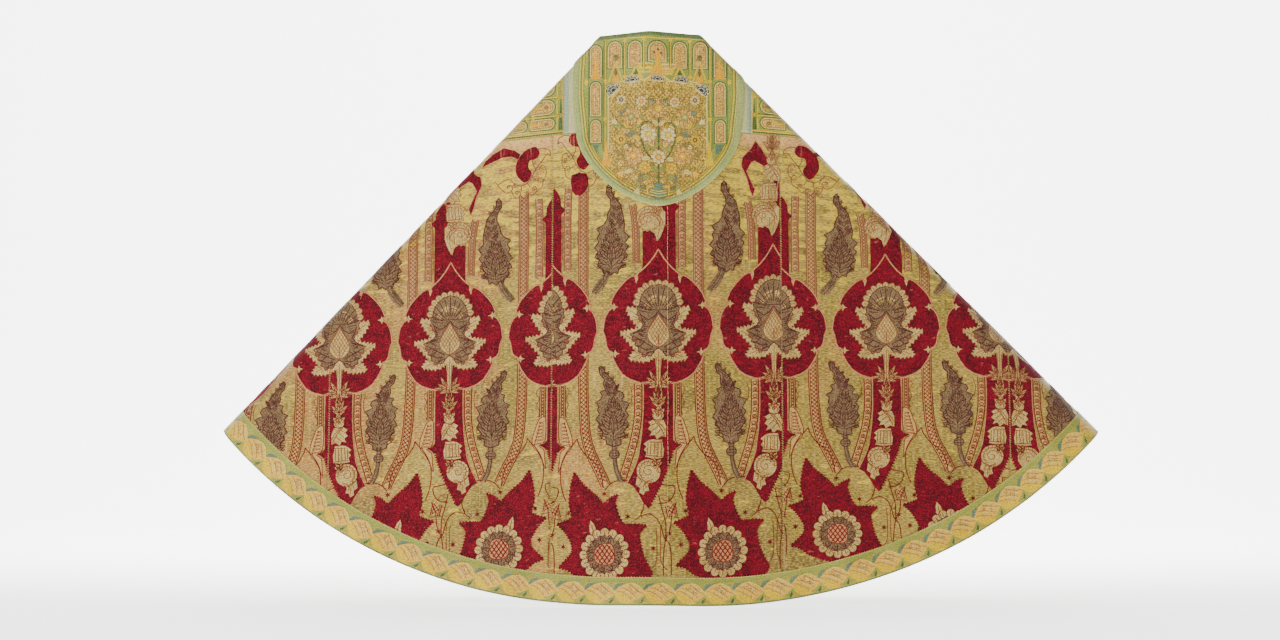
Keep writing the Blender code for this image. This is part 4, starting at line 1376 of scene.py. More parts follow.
def figure_mesh(loom):
    """The figure of one loom width, cut at its seams, draped, and raised above the ground."""
    made = LOOMS[loom]
    first, lean, beat = COLUMNS[loom]
    left, right = made["left"], made["right"]
    points, faces, which, count = [], [], [], 0
    for number in range(-1, 5):
        axis = first + number * REPEAT
        if axis < left - REPEAT or axis > right + REPEAT:
            continue
        for draft, tris, silk in DRAFT:
            u = axis + lean * draft[:, 0] * STEP
            if u.max() < left or u.min() > right:
                continue
            v = FOOT_V + beat * (draft[:, 1] - FOOT_STEP) * STEP + np.interp(u, *np.array(ASKEW).T)
            if v.max() < TOP_EDGE:
                continue
            radius = np.hypot(u, v)
            if radius.min() > BAND_EDGE + 0.012:
                continue
            flat = np.column_stack([u, v])
            gone = (radius > BAND_EDGE + 0.030) | under_hood(flat, 0.012)
            kept = tris[~gone[tris].any(axis=1)]
            if not len(kept):
                continue
            points.append(np.column_stack([flat, draft[:, 2]]))
            faces.append((kept if lean > 0 else kept[:, ::-1]) + count)
            which.append(np.full(len(kept), silk))
            count += len(draft)
    points, faces, which = np.vstack(points), np.vstack(faces), np.concatenate(which)
    mesh = bpy.data.meshes.new("flat_figure")
    mesh.from_pydata(points.tolist(), [], faces.tolist())
    mesh.polygons.foreach_set("material_index", which.astype(np.int32))
    work = bmesh.new()
    work.from_mesh(mesh)
    bpy.data.meshes.remove(mesh)
    for place, way in (
        ((left + 0.0006, 0, 0), (-1, 0, 0)),
        ((right - 0.0006, 0, 0), (1, 0, 0)),
        ((0, TOP_EDGE + 0.0012, 0), (0, -1, 0)),
    ):
        every = work.verts[:] + work.edges[:] + work.faces[:]
        bmesh.ops.bisect_plane(work, geom=every, dist=1e-7, plane_co=place, plane_no=way, clear_outer=True)
    bmesh.ops.triangulate(work, faces=work.faces[:])
    loose = [vert for vert in work.verts if not vert.link_faces]
    bmesh.ops.delete(work, geom=loose, context="VERTS")
    work.verts.index_update()
    points = np.array([tuple(vert.co) for vert in work.verts])
    faces = [tuple(vert.index for vert in face.verts) for face in work.faces]
    which = [face.material_index for face in work.faces]
    work.free()
    return cloth_object(f"velvet_{loom}_figure", points[:, :2], CLOTH + points[:, 2], faces, FIGURE_SILKS,
                        which)


def crimson_pile():
    """Cut silk pile, dyed crimson, with painted shade in its dark patches as of folds and a painted sheen in
    its bright patches where the pile leans, rubbed near the top.
    """
    silk = Silk("crimson_pile", 0.85, sheen=0.05)
    silk.shader.inputs["Sheen Tint"].default_value = dyed(200, 30, 60)
    nap_and_fold_shade = silk.noise(30, 24, 4.0, shift=1.0)
    crushed_pile_sheen = silk.noise(90, 130, 3.0, shift=8.0)
    rows = silk.noise(26, 330, 2.0, shift=5.0)
    bare = silk.noise(40, 90, 4.0, shift=15.0)
    # dark and less dark patches: uneven dye with painted shade, as in the pile's folds
    colour = silk.shades(nap_and_fold_shade, 0.34, 0.66, (62, 0, 7), (98, 0, 17))
    # bright patches: crushed pile with a painted sheen where it leans
    colour = silk.tinted(colour, crushed_pile_sheen, 0.50, 0.72, (148, 6, 34), 0.6)
    colour = silk.tinted(colour, rows, 0.62, 0.76, (160, 40, 52), 0.35)
    colour = silk.tinted(colour, bare, 0.68, 0.78, (176, 96, 74), 0.6)
    worn = silk.math("ADD", silk.axis(True), silk.math("MULTIPLY", silk.noise(150, 12, 4.0, shift=9.0), 0.30))
    worn = silk.math("ADD", worn, silk.between(silk.axis(False), -0.62, -0.50, -0.04, 0.10))
    worn = silk.math("ADD", worn, silk.between(silk.axis(False), -0.80, -0.95, 0.0, 0.16))
    colour = silk.tinted(colour, worn, 0.52, 0.46, (196, 112, 88), 0.75)
    colour = silk.grain_and_glint(colour, (48, 0, 8), (178, 20, 52), (0.6, 0.4), 280, 240)
    return silk.finish(colour, crushed_pile_sheen, 0.0012)


def brown_pile():
    """Uncut pile in grey-brown silk."""
    silk = Silk("brown_pile", 0.8, sheen=0.08)
    loops = silk.noise(240, 200, 2.0, shift=2.0)
    patches = silk.noise(40, 40, 3.0, shift=6.0)
    colour = silk.shades(patches, 0.3, 0.7, (98, 76, 50), (124, 98, 66))
    colour = silk.grain_and_glint(colour, (56, 30, 22), (150, 126, 78), (0.75, 0.5), 300, 280)
    return silk.finish(colour, loops, 0.0008)


def cream_loops():
    """Looped gold thread that lies over the pile."""
    silk = Silk("cream_thread", 0.55, sheen=0.06, metallic=0.05)
    slubs = silk.noise(60, 420, 3.0, shift=4.0)
    patches = silk.noise(30, 30, 3.0, shift=2.5)
    colour = silk.shades(patches, 0.3, 0.7, (158, 128, 62), (186, 156, 86))
    colour = silk.grain_and_glint(colour, (118, 80, 42), (226, 204, 136), (0.65, 0.55), 320, 280)
    return silk.finish(colour, slubs, 0.0006)


def rose_cord():
    """The rose silk that edges the crimson."""
    silk = Silk("rose_cord", 0.6, sheen=0.06)
    twist = silk.noise(300, 300, 2.0)
    colour = silk.shades(twist, 0.3, 0.7, (156, 86, 54), (198, 146, 92))
    return silk.finish(colour, twist, 0.0004)


def dark_line():
    """Fine lines of dark red silk."""
    silk = Silk("dark_red_line", 0.75, sheen=0.05)
    fade = silk.noise(140, 140, 3.0)
    colour = silk.shades(fade, 0.35, 0.65, (84, 6, 12), (122, 34, 26))
    colour = silk.tinted(colour, silk.axis(True), 0.98, 0.70, (128, 76, 50), 0.8)
    return silk.finish(colour, fade, 0.0003)


def brown_line():
    """Fine dark lines drawn on the grey-brown."""
    silk = Silk("dark_brown_line", 0.75, sheen=0.05)
    fade = silk.noise(150, 150, 3.0, shift=3.0)
    colour = silk.shades(fade, 0.35, 0.65, (54, 10, 18), (92, 40, 34))
    return silk.finish(colour, fade, 0.0003)


def rosy_band():
    """The faded rose ground of the diapered and ringed bands."""
    silk = Silk("rosy_band", 0.6, sheen=0.06)
    slubs = silk.noise(30, 300, 3.0, shift=1.0)
    patches = silk.noise(30, 12, 3.0, shift=2.5)
    low = silk.between(silk.math("ADD", silk.axis(True), silk.math("MULTIPLY", patches, 0.2)), 0.84, 1.04)
    low = silk.math("MAXIMUM", low, silk.between(silk.axis(False), 0.12, 0.42, 0.0, 0.8))
    colour = silk.shades(patches, 0.3, 0.7, (160, 118, 72), (184, 142, 92))
    colour = silk.mix(low, colour, dyed(184, 146, 78))
    colour = silk.grain_and_glint(colour, (134, 82, 50), (208, 170, 98), (0.6, 0.5), 200, 300)
    return silk.finish(colour, slubs, 0.0004)


FIGURE_SILKS = [crimson_pile(), brown_pile(), cream_loops(), rose_cord(), dark_line(), rosy_band(),
                brown_line()]
# a line of pale thread runs down the middle width, from under the hood to the hem band
path = [(0.0190 + 0.0006 * math.sin(v * 40), v) for v in np.arange(0.474, 1.436, 0.01)]
TACKING = sewn("tacking_thread", path, CLOTH + PILE + 0.0014, SEAM_SILK,
               Pitch=0.0130, Length=0.0105, Thickness=0.0010, Slant=0.03, Unevenness=0.06)
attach(TACKING, "root")
# a scrap of crimson velvet is let in over the worn ground beside the hood's point
scrap = [(-0.229, 0.366), (-0.212, 0.362), (-0.194, 0.366), (-0.187, 0.378), (-0.188, 0.400), (-0.196, 0.416),
         (-0.208, 0.424), (-0.222, 0.421), (-0.231, 0.408), (-0.234, 0.385)]
scrap_silk = FIGURE_SILKS[CRIMSON]
SCRAP, _ = cloth_wall("crimson_scrap", scrap, 0.010, CLOTH + 0.0002, CLOTH + PILE, scrap_silk, scrap_silk)
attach(SCRAP, "root")


# the figure is woven in one with its ground; each width's figure is made as a mesh of its own over the ground,
# and its stitches are listed with it
for loom, made in LOOMS.items():
    made["figure"] = figure_mesh(loom)
    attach(made["figure"], "root")
    on_it = [made[part] for part in ("figure", "stitches") if part in made]
    if loom == "centre":
        on_it.append(TACKING)

DRAFT.clear()

# ==== Orphreys and neck panel =================================================================
# Along the straight edge runs one band, 252 mm deep. Two orphreys of yellow silk and gold, woven
# with rows of niches, run down the fronts, and a plain grey-blue silk joins them at the nape.
NECK_LEFT, NECK_RIGHT = -0.254, 0.240
THREAD = 0.00266  # one step of the orphreys' point paper
BAYS, BAY, BAY_HALF = 4, 117.5, 43.4  # of an orphrey: how many, how long, and half the width, in steps
(GREEN, DARK, TEAL, PALE, PEACH, YELLOW, ORANGE, BLUE,
 BLACK, WHITE, OLIVE, RUST, FIELD, SAGE, GOLDEN) = range(10, 25)
for silk in range(GREEN, GOLDEN + 1):
    RAISED[silk] = 0.00012
LAYER, TOUCH = 0.0001, 0.00005  # what lies on another shape stands this much above it


def woven_silk(name, one, other, slub, across=60, down=400):
    """A woven silk between two shades, flecked along its weft."""
    silk = Silk(name, 0.55, sheen=0.06)
    slubs = silk.noise(across, down, 3.0, shift=sum(one) * 0.1)
    patches = silk.noise(9, 9, 4.0, shift=4.0)
    twill = silk.placed(PLAIN_WEAVE, Threads=480.0)
    colour = silk.shades(patches, 0.3, 0.7, one, other)
    colour = silk.tinted(colour, slubs, 0.35, 0.7, slub, 0.45)
    colour = silk.grain_and_glint(colour, slub, [min(255, shade + 26) for shade in other], (0.7, 0.4))
    return silk.finish(colour, twill, 0.0003)


def diapered_silk(name, one, other, line, cells, busy=0.3):
    """A silk brocaded all over with a small dotted lozenge."""
    silk = Silk(name, 0.55, sheen=0.06)
    patches = silk.noise(12, 12, 4.0, shift=4.0)
    dots = silk.tree.nodes.new("ShaderNodeTexVoronoi")
    dots.voronoi_dimensions = "2D"
    dots.inputs["Scale"].default_value = cells
    dots.inputs["Randomness"].default_value = 0.45
    silk.tree.links.new(silk.place.outputs["UV"], dots.inputs["Vector"])
    threads = silk.noise(120, 500, 2.0)
    colour = silk.shades(patches, 0.3, 0.7, one, other)
    colour = silk.tinted(colour, dots.outputs["Distance"], 0.34, 0.52, line, 0.85)
    colour = silk.tinted(colour, threads, 0.4, 0.7, line, 0.35)
    shaded = silk.noise(85, 70, 4.0, shift=9.0)
    colour = silk.tinted(colour, shaded, 0.50, 0.34, line, busy)
    light = (other[0] + 20, other[1] + 18, other[2] + 6)
    colour = silk.tinted(colour, shaded, 0.52, 0.68, light, busy)
    colour = silk.grain_and_glint(colour, line, light, (0.5 + busy / 2, 0.4 + busy / 2), 260, 230)
    return silk.finish(colour, dots.outputs["Distance"], 0.0004)


ORPHREY_SILKS = [
    woven_silk("green_silk", (128, 136, 56), (150, 154, 72), (98, 112, 44)),
    woven_silk("dark_green_silk", (62, 84, 40), (82, 104, 52), (46, 62, 32)),
    woven_silk("teal_silk", (78, 104, 78), (104, 126, 96), (58, 82, 66)),
    woven_silk("pale_cream_silk", (206, 180, 92), (222, 198, 114), (164, 138, 66)),
    diapered_silk("peach_brocade", (204, 158, 68), (222, 174, 88), (126, 92, 40), 180, 0.4),
    woven_silk("yellow_silk", (206, 168, 6), (224, 188, 30), (154, 126, 20)),
    woven_silk("orange_silk", (214, 148, 4), (226, 164, 18), (168, 112, 14)),
    woven_silk("blue_silk", (52, 66, 84), (80, 96, 108), (36, 44, 58)),
    woven_silk("black_silk", (42, 42, 44), (58, 58, 58), (28, 28, 30)),
    woven_silk("white_silk", (206, 184, 112), (222, 202, 136), (160, 138, 84)),
    woven_silk("olive_silk", (130, 116, 52), (150, 134, 68), (102, 88, 38)),
    woven_silk("rust_outline_silk", (116, 76, 36), (140, 94, 46), (86, 56, 28)),
    diapered_silk("gold_brocade", (186, 154, 54), (208, 176, 74), (108, 86, 32), 150, 0.7),
    woven_silk("sage_silk", (134, 136, 50), (156, 154, 66), (100, 112, 44)),
    woven_silk("golden_leaf_silk", (206, 162, 44), (222, 180, 66), (184, 124, 50), 240, 260),
]
ORPHREY_GROUND = woven_silk("orphrey_yellow_ground", (188, 160, 70), (208, 178, 88), (142, 122, 50))


def neck_panel_silk():
    """Plain silk, pale beige beside the hood and grey-blue beside the orphreys."""
    silk = Silk("neck_grey_blue", 0.55, sheen=0.06)
    cords = silk.noise(180, 10, 3.0, shift=2.0)
    colour = silk.shades(cords, 0.35, 0.65, (168, 166, 108), (192, 184, 126))
    for low, high in ((-0.238, -0.243), (0.226, 0.231)):
        colour = silk.tinted(colour, silk.axis(False), low, high, (136, 152, 124))
    colour = silk.grain_and_glint(colour, (128, 134, 92), (214, 206, 156), (0.5, 0.4))
    return silk.finish(colour, silk.placed(PLAIN_WEAVE, Threads=480.0), 0.0003)


NECK_SILK = neck_panel_silk()
PALE_GREEN = woven_silk("pale_green_ribbon", (142, 152, 80), (164, 168, 96), (116, 134, 70), 120, 120)
DARK_GREEN = woven_silk("dark_green_ribbon", (80, 98, 48), (98, 114, 60), (60, 78, 38), 120, 120)


def arch(x, head, foot, half):
    """The outline of a round-headed niche."""
    turns = np.linspace(math.pi, 2 * math.pi, 11)
    curve = [(x + half * math.cos(t), head + half + half * 1.05 * math.sin(t)) for t in turns]
    return np.array([(x - half, foot)] + curve + [(x + half, foot)])


def niche(x, head, foot, half):
    """A niche: a green edge, a pale one within it, and a brocaded field."""
    outlined(arch(x, head, foot, half), PEACH, 1.0, PALE, LAYER, LAYER + TOUCH)
    strip(arch(x, head - 1.1, foot + 1.0, half + 1.1), 1.0, DARK, LAYER, closed=True)
    strip(arch(x, head + 1.2, foot - 1.0, half - 1.2), 0.8, OLIVE, LAYER + TOUCH, closed=True)


def pinnacle(x, top, foot, half):
    """A tapering pinnacle with a ball at its tip."""
    up, tall = 2 * LAYER, foot - top
    rows = [(half * 0.35, top + tall * 0.45), (half * 0.4, top + tall * 0.7), (half, foot)]
    fill([(x, top)] + [(x + out, y) for out, y in rows] + [(x - out, y) for out, y in rows[::-1]], ORANGE, up)
    strip([(x, top + 1), (x, foot - 0.6)], 0.9, YELLOW, up + TOUCH)
    fill(circle(x, top, 1.5, 8), YELLOW, up + LAYER)


def pillar(x, top, foot, knots=()):
    """A thin yellow shaft with a green shade and knots."""
    up = 3 * LAYER
    strip([(x - 1.0, top), (x - 1.0, foot)], 1.0, DARK, up)
    strip([(x, top), (x, foot)], 1.3, YELLOW, up + TOUCH)
    strip([(x + 0.9, top), (x + 0.9, foot)], 0.5, OLIVE, up)
    for y in knots:
        fill([(x - 2.2, y - 1.4), (x + 2.2, y - 1.4), (x + 1.6, y),
              (x + 2.2, y + 1.4), (x - 2.2, y + 1.4), (x - 1.6, y)], YELLOW, up + LAYER)


def leaf(x, y, turn, length, width, silk, vein=RUST, up=0.0003):
    """A pointed leaf with a vein, growing from its foot."""
    way, foot = heading(turn), np.array([x, y])
    across = np.array([-way[1], way[0]]) * width / 2
    near, far = foot + way * length * 0.3, foot + way * length * 0.62
    shape = [foot, near + across, far + across * 0.85, foot + way * length, far - across * 0.85, near - across]
    outlined(smooth_run(shape, 2, closed=True), silk, 0.45, vein, up, up + 0.00004)
    strip([foot, foot + way * length * 0.85], 0.4, vein, up + TOUCH)


def rosette(x, y, radius, petals, silk, middle, up=0.0004):
    """A round flower of many petals."""
    turns = np.linspace(0, 2 * math.pi, petals, endpoint=False)
    rim = [around(x, y, radius * out, turn + part * 2 * math.pi / petals)
           for turn in turns for part, out in ((-0.5, 0.78), (-0.2, 0.98), (0.2, 0.98))]
    outlined(rim, silk, 0.5, RUST, up, up + TOUCH)
    for turn in turns - math.pi / petals:
        way = heading(turn)
        strip([np.array([x, y]) + way * radius * far for far in (0.4, 0.82)], 0.4, RUST, up + TOUCH)
    outlined(circle(x, y, radius * 0.4, 10), middle, 0.5, RUST, up + LAYER, up + 0.00012)
    fill(circle(x, y, radius * 0.15, 6), PALE, up + 0.00014)


def tendril(points, silk, width, leaves, leaf_silks):
    """A winding stem with leaves on either side: each one's share along it, its lean and its length."""
    path = smooth_run(points, 6)
    strip(path, width, silk, 0.0002)
    along = np.gradient(path, axis=0)
    for number, (share, side, length) in enumerate(leaves):
        at = int(share * (len(path) - 1))
        turn = math.atan2(along[at][1], along[at][0]) + side
        leaf(*path[at], turn, length, length * 0.42, leaf_silks[number % len(leaf_silks)], up=0.0003)


def bell(x, y, turn, size, silk):
    """A bell flower seen from its side: a calyx, a cup and three lips."""
    way, foot, up = heading(turn), np.array([x, y]), 4 * LAYER
    across = np.array([-way[1], way[0]])
    rows = ((0.0, 0.16), (0.5, 0.34), (0.92, 0.56), (0.8, 0.2))
    near = [foot + way * size * far - across * size * out for far, out in rows]
    other = [foot + way * size * far + across * size * out for far, out in rows]
    outlined(near + [foot + way * size * 1.04] + other[::-1], silk, 0.55, RUST, up, up + TOUCH)
    for lean in (-0.3, 0.0, 0.3):
        strip([foot, foot + way * size * 0.7 + across * size * lean], 0.45, PALE, up + 0.00006)
    fill(circle(*foot, size * 0.2, 7), GREEN, up + LAYER)


STEMS = (
    # on each side of the vase: points as shares of the field, silk, width, leaves, the leaves' silks
    ([(0.02, 0.80), (0.30, 0.75), (0.62, 0.70), (0.84, 0.58), (0.74, 0.47), (0.54, 0.50), (0.56, 0.58)], OLIVE,
     1.6, [(0.12, 0.9, 11), (0.20, -0.9, 12), (0.32, 0.9, 11), (0.42, -0.8, 12), (0.52, 0.9, 10),
           (0.60, -0.9, 11),
      (0.72, -0.9, 10)], (GREEN, OLIVE, PALE)),
    ([(0.02, 0.66), (0.24, 0.58), (0.40, 0.42), (0.34, 0.30), (0.18, 0.30), (0.16, 0.38)], DARK, 1.6,
     [(0.14, 0.9, 11), (0.26, -0.9, 12), (0.38, 0.9, 11), (0.50, -0.9, 11), (0.62, 0.9, 10), (0.76, -0.9, 9)],
     (PALE, GREEN, YELLOW)),
    ([(0.34, 0.44), (0.60, 0.36), (0.84, 0.32), (0.88, 0.18), (0.70, 0.12), (0.58, 0.20)], OLIVE, 1.6,
     [(0.14, 0.9, 11), (0.28, -0.9, 11), (0.42, 0.9, 11), (0.54, -0.9, 10), (0.68, 0.9, 10), (0.82, -0.9, 9)],
     (TEAL, YELLOW, GREEN)),
    ([(0.10, 0.88), (0.30, 0.86), (0.46, 0.82), (0.40, 0.90)], OLIVE, 1.4,
     [(0.3, 0.9, 10), (0.5, -0.9, 10), (0.7, 0.9, 9), (0.9, 1, 8)], (GREEN, TEAL)),
)
FLOWERS = (
    # place, size, silk and heart
    (0.56, 0.59, 10.0, PEACH, ORANGE),
    (0.22, 0.40, 8.2, WHITE, YELLOW),
    (0.62, 0.235, 9.0, PEACH, GREEN),
    (0.86, 0.44, 5.6, YELLOW, RUST),
    (0.38, 0.10, 5.6, WHITE, ORANGE),
    (0.30, 0.70, 6.2, YELLOW, ORANGE),
    (0.86, 0.08, 5.4, PALE, BLUE),
)
BELLS = (
    # place, turn, size and silk
    (0.80, 0.72, 0.9, 9, ORANGE),
    (0.12, 0.52, -1.2, 9, PEACH),
    (0.94, 0.30, -0.6, 8, WHITE),
    (0.46, 0.32, -1.9, 8, YELLOW),
    (0.44, 0.88, 1.2, 8, PALE),
    (0.18, 0.14, -1.9, 8, TEAL),
)


def garden(half, head, foot):
    """A flowering plant in a two-handled vase, filling a field between a head and a foot."""
    tall, mid = foot - head, (head + foot) / 2
    for sign in (-1, 1):
        def run(points):
            return [(sign * half * x, head + tall * y) for x, y in points]

        for points, silk, width, leaves, leaf_silks in STEMS:
            sided = [(share, sign * side, length) for share, side, length in leaves]
            tendril(run(points), silk, width, sided, leaf_silks)
        for x, y, size, silk, middle in FLOWERS:
            rosette(sign * half * x, head + tall * y, size, 9, silk, middle)
        for x, y, turn, size, silk in BELLS:
            bell(sign * half * x, head + tall * y, turn if sign > 0 else math.pi - turn, size, silk)
        strip(smooth_run(run([(0.10, 0.88), (0.24, 0.86), (0.22, 0.93), (0.10, 0.95)]), 4), 1.4, YELLOW, 0.0003)
    pairs = [(share, side, length) for share, length in ((0.22, 11), (0.4, 11), (0.58, 11), (0.76, 10))
             for side in (0.8, -0.8)]
    tendril([(0, foot - 0.14 * tall), (0, mid), (0, head + 0.14 * tall)], DARK, 2.0, pairs,
            (GREEN, GREEN, PALE, PALE))
    rosette(0, head + 0.16 * tall, 10.0, 11, PEACH, YELLOW)
    rosette(0, head + 0.60 * tall, 7.4, 8, WHITE, ORANGE, 0.0005)
    vase = both_sides([(x, foot - rise * tall) for x, rise in (
        (0, 0.165), (5.6, 0.16), (3.4, 0.135), (9.4, 0.095), (8.6, 0.05), (3.2, 0.028), (6.4, 0.010),
        (0, 0.004))])
    outlined(vase, TEAL, 0.7, RUST, 0.0004, 0.00045)
    for share in (0.105, 0.085, 0.06):
        strip([(-8.4, foot - share * tall), (0, foot - (share - 0.014) * tall), (8.4, foot - share * tall)],
              0.9, YELLOW, 0.00045)


def drafted(name, place, base):
    """A mesh of all that is drafted so far, put on the cloth by a rule, and an empty draft."""
    points, faces, which, count = [], [], [], 0
    for draft, tris, silk in DRAFT:
        flat = place(draft[:, 0], draft[:, 1])
        points.append(np.column_stack([flat, draft[:, 2] + base]))
        faces.append(tris + count)
        which.append(np.full(len(tris), silk - GREEN))
        count += len(draft)
    DRAFT.clear()
    points, faces, which = np.vstack(points), np.vstack(faces), np.concatenate(which)
    one, two, three = (points[faces[:, corner], :2] for corner in range(3))
    if np.median(np.cross(two - one, three - one)) > 0:
        faces = faces[:, ::-1]  # the rule turns the draft over
    return cloth_object(name, points[:, :2], points[:, 2], faces, ORPHREY_SILKS, which)


def block(left, top, right, foot):
    """The outline of an oblong."""
    return [(left, top), (right, top), (right, foot), (left, foot)]


def orphrey_panel(top, foot):
    """One bay of an orphrey: a row of niches with gables, a column of niches on each side, a field."""
    for x, silk, up in ((46.2, DARK, 0.0001), (44.4, YELLOW, 0.0002)):
        for sign in (-1, 1):
            strip([(sign * x, top), (sign * x, foot)], 1.6, silk, up)
    fill(block(-BAY_HALF, top, BAY_HALF, foot), GREEN, 0.0)
    fill(block(-BAY_HALF, top, BAY_HALF, top + 4.4), DARK, 0.00005)
    fill(block(-BAY_HALF, top + 1.2, BAY_HALF, top + 3.0), TEAL, 0.0001)
    strip([(-BAY_HALF, top + 5.6), (BAY_HALF, top + 5.6)], 1.4, YELLOW, 0.0002)
    columns = (-BAY_HALF, -28.4, -9.4, 9.4, 28.4, BAY_HALF)
    for x in columns[1:-1]:
        pillar(x, top + 1.0, top + 34, (top + 3.4, top + 30))
        fill(block(x - 1.9, top + 1.2, x + 1.9, top + 4.6), YELLOW, 0.0004)
    for left, right in zip(columns, columns[1:]):
        middle, wide = (left + right) / 2, (right - left) / 2
        niche(middle, top + 9.0, top + 32, wide - 2.6)
        pinnacle(middle, top + 19, top + 33.4, wide - 4.0)
        leaf(middle, top + 19, UP, 5.0, 3.2, OLIVE, up=0.0004)
    for sign in (-1, 1):
        niche(sign * 35.9, top + 37.0, top + 72, 4.9)
        niche(sign * 35.9, top + 76.0, foot - 9, 4.9)
        pillar(sign * 28.6, top + 34, foot - 2, (top + 36, top + 74, foot - 8))
        strip([(sign * 42.4, top + 34), (sign * 42.4, foot - 3)], 0.8, PALE, 0.0002)
    side = [(27, top + 42), (20, top + 36.6), (9, top + 34.4)]
    field = [(-27, foot - 3)] + [(-x, y) for x, y in side] + [(0, top + 34)] + side[::-1] + [(27, foot - 3)]
    outlined(field, FIELD, 1.2, PALE, 0.0001, 0.0002)
    for x, y in ((-21, top + 41), (-10.5, top + 38), (0, top + 37.4), (10.5, top + 38), (21, top + 41)):
        cloud = [(x + 4, y), (x + 1.4, y + 1.2), (x, y + 3.0), (x - 1.4, y + 1.2), (x - 4, y)]
        fill([(x - 4, y), (x - 2, y - 2.6), (x + 2, y - 2.6)] + cloud[:-1], BLUE, 0.0002)
        strip(cloud[::-1], 0.7, WHITE, 0.0003)
    garden(24.0, top + 42, foot - 5)
    strip([(-BAY_HALF, foot - 1.2), (BAY_HALF, foot - 1.2)], 1.6, YELLOW, 0.0002)


bottom = TOP_EDGE - SEAM / 2
reach = math.sqrt(CUT_RADIUS**2 - bottom**2)
for side, sign, start in (("left", -1, NECK_LEFT - SEAM / 2), ("right", 1, NECK_RIGHT + SEAM / 2)):
    turns = np.linspace(math.pi / 2, math.atan2(reach, bottom), 22)
    end = [(sign * CUT_RADIUS * math.sin(t), CUT_RADIUS * math.cos(t)) for t in turns]
    outline = [(u, 0.0) for u in np.arange(start, sign * (CUT_RADIUS - 0.006), sign * 0.01)] + end
    outline += [(u, bottom) for u in np.arange(sign * (reach - 0.006), start + sign * 0.003, -sign * 0.01)]
    outline += [(start, v) for v in np.arange(bottom, 0.003, -0.01)]
    if sign < 0:
        outline.reverse()
    cloth, area = cloth_wall(f"orphrey_{side}_silk", outline, CLOTH_STEP, 0.0, CLOTH, ORPHREY_GROUND, LINING)
    for number in range(BAYS):
        orphrey_panel(1.0 + number * BAY, BAY + number * BAY)
    figure = drafted(
        f"orphrey_{side}_figure",
        lambda x, y: np.column_stack([start + sign * y * THREAD, TOP_EDGE / 2 + sign * x * THREAD]), CLOTH)
    join = np.arange(start + sign * 0.01, sign * (reach - 0.01), sign * 0.01)
    stitches = sewn(f"orphrey_{side}_stitches", [(u, TOP_EDGE) for u in join], CLOTH + 0.0008, SEAM_SILK,
                    Pitch=0.0066, Length=0.0052, Thickness=0.0009, Slant=1.2)
    for piece in (cloth, figure, stitches):
        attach(piece, "root")
    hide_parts(f"orphrey_{side}")
left, right = NECK_LEFT + SEAM / 2, NECK_RIGHT - SEAM / 2
outline = [(u, 0.0) for u in np.linspace(left, right, 50)]
outline += [(right, v) for v in np.arange(0.01, bottom - 0.003, 0.01)]
outline += [(u, bottom) for u in np.linspace(right, left, 50)]
outline += [(left, v) for v in np.arange(bottom - 0.01, 0.003, -0.01)]
neck_cloth, area = cloth_wall("neck_panel_silk", outline, CLOTH_STEP, 0.0, CLOTH, NECK_SILK, LINING)
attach(neck_cloth, "root")
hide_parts("neck_panel")

# ==== Hood ====================================================================================
# A shield of gold-grounded silk that hangs from the neck edge over the back, edged with a pale
# green ribbon, with a dark green ribbon along its top. Real hoods are buttoned under that edge.
HOOD_LOW = CLOTH + SEAM
RIBBON, HOOD_RIBBON_WIDTH, NECK_RIBBON_WIDTH = 0.0010, 0.016, 0.012
RIBBON_STEP = 0.006  # the longest side of the ribbons' triangles, about
HOOD_STEP_ACROSS, HOOD_STEP_DOWN = 0.002575, 0.00268  # one step of the hood's point paper


def belly(v):
    """How much wider than its straight cut the worn hood spreads, at a depth."""
    return 0.0115 * np.exp(-(((v - 0.15) / 0.13) ** 2)) * (1 - np.clip(v / HOOD_STRAIGHT, 0, 1) ** 4)


def shield(inset):
    """The hood's outline without its top edge, from the right round the point to the left."""
    curve = []
    for turn in np.radians(np.arange(-90, 90.1, 4.0)):
        across = -math.copysign(abs(math.sin(turn)) ** (2 / HOOD_ROUND), turn)
        down = max(0.0, math.cos(turn)) ** (2 / HOOD_ROUND)
        curve.append((HOOD_CENTRE + (HOOD_HALF - inset) * across,
                      HOOD_STRAIGHT + (HOOD_LENGTH - HOOD_STRAIGHT - inset) * down))
    return curve


def shield_outline(inset, top, gap=0.01):
    """The hood's whole outline at an inset, clockwise from its top left corner."""
    half = HOOD_HALF - inset
    corner = half + belly(top)
    outline = [(u, top) for u in np.arange(HOOD_CENTRE - corner, HOOD_CENTRE + corner - gap / 2, gap)]
    outline += [(HOOD_CENTRE + half + belly(v), v) for v in np.arange(top, HOOD_STRAIGHT - gap / 2, gap)]
    outline += shield(inset)
    outline += [(HOOD_CENTRE - half - belly(v), v) for v in np.arange(HOOD_STRAIGHT - gap, top + gap / 2, -gap)]
    return outline


def rise(x):
    """How much the drawing rises away from the hood's middle line, as the real one does when worn."""
    return 0.000135 * np.abs(x) + 0.0000009 * x * x


def on_hood(x, y):
    """Where a place of the hood's point paper lies on the flat cloth."""
    return np.column_stack([HOOD_CENTRE + x * HOOD_STEP_ACROSS, y * HOOD_STEP_DOWN - rise(x)])


def on_paper(flat):
    """The place on the hood's point paper of points of the flat cloth."""
    flat = np.asarray(flat, float)
    x = (flat[:, 0] - HOOD_CENTRE) / HOOD_STEP_ACROSS
    return np.column_stack([x, (flat[:, 1] + rise(x)) / HOOD_STEP_DOWN])


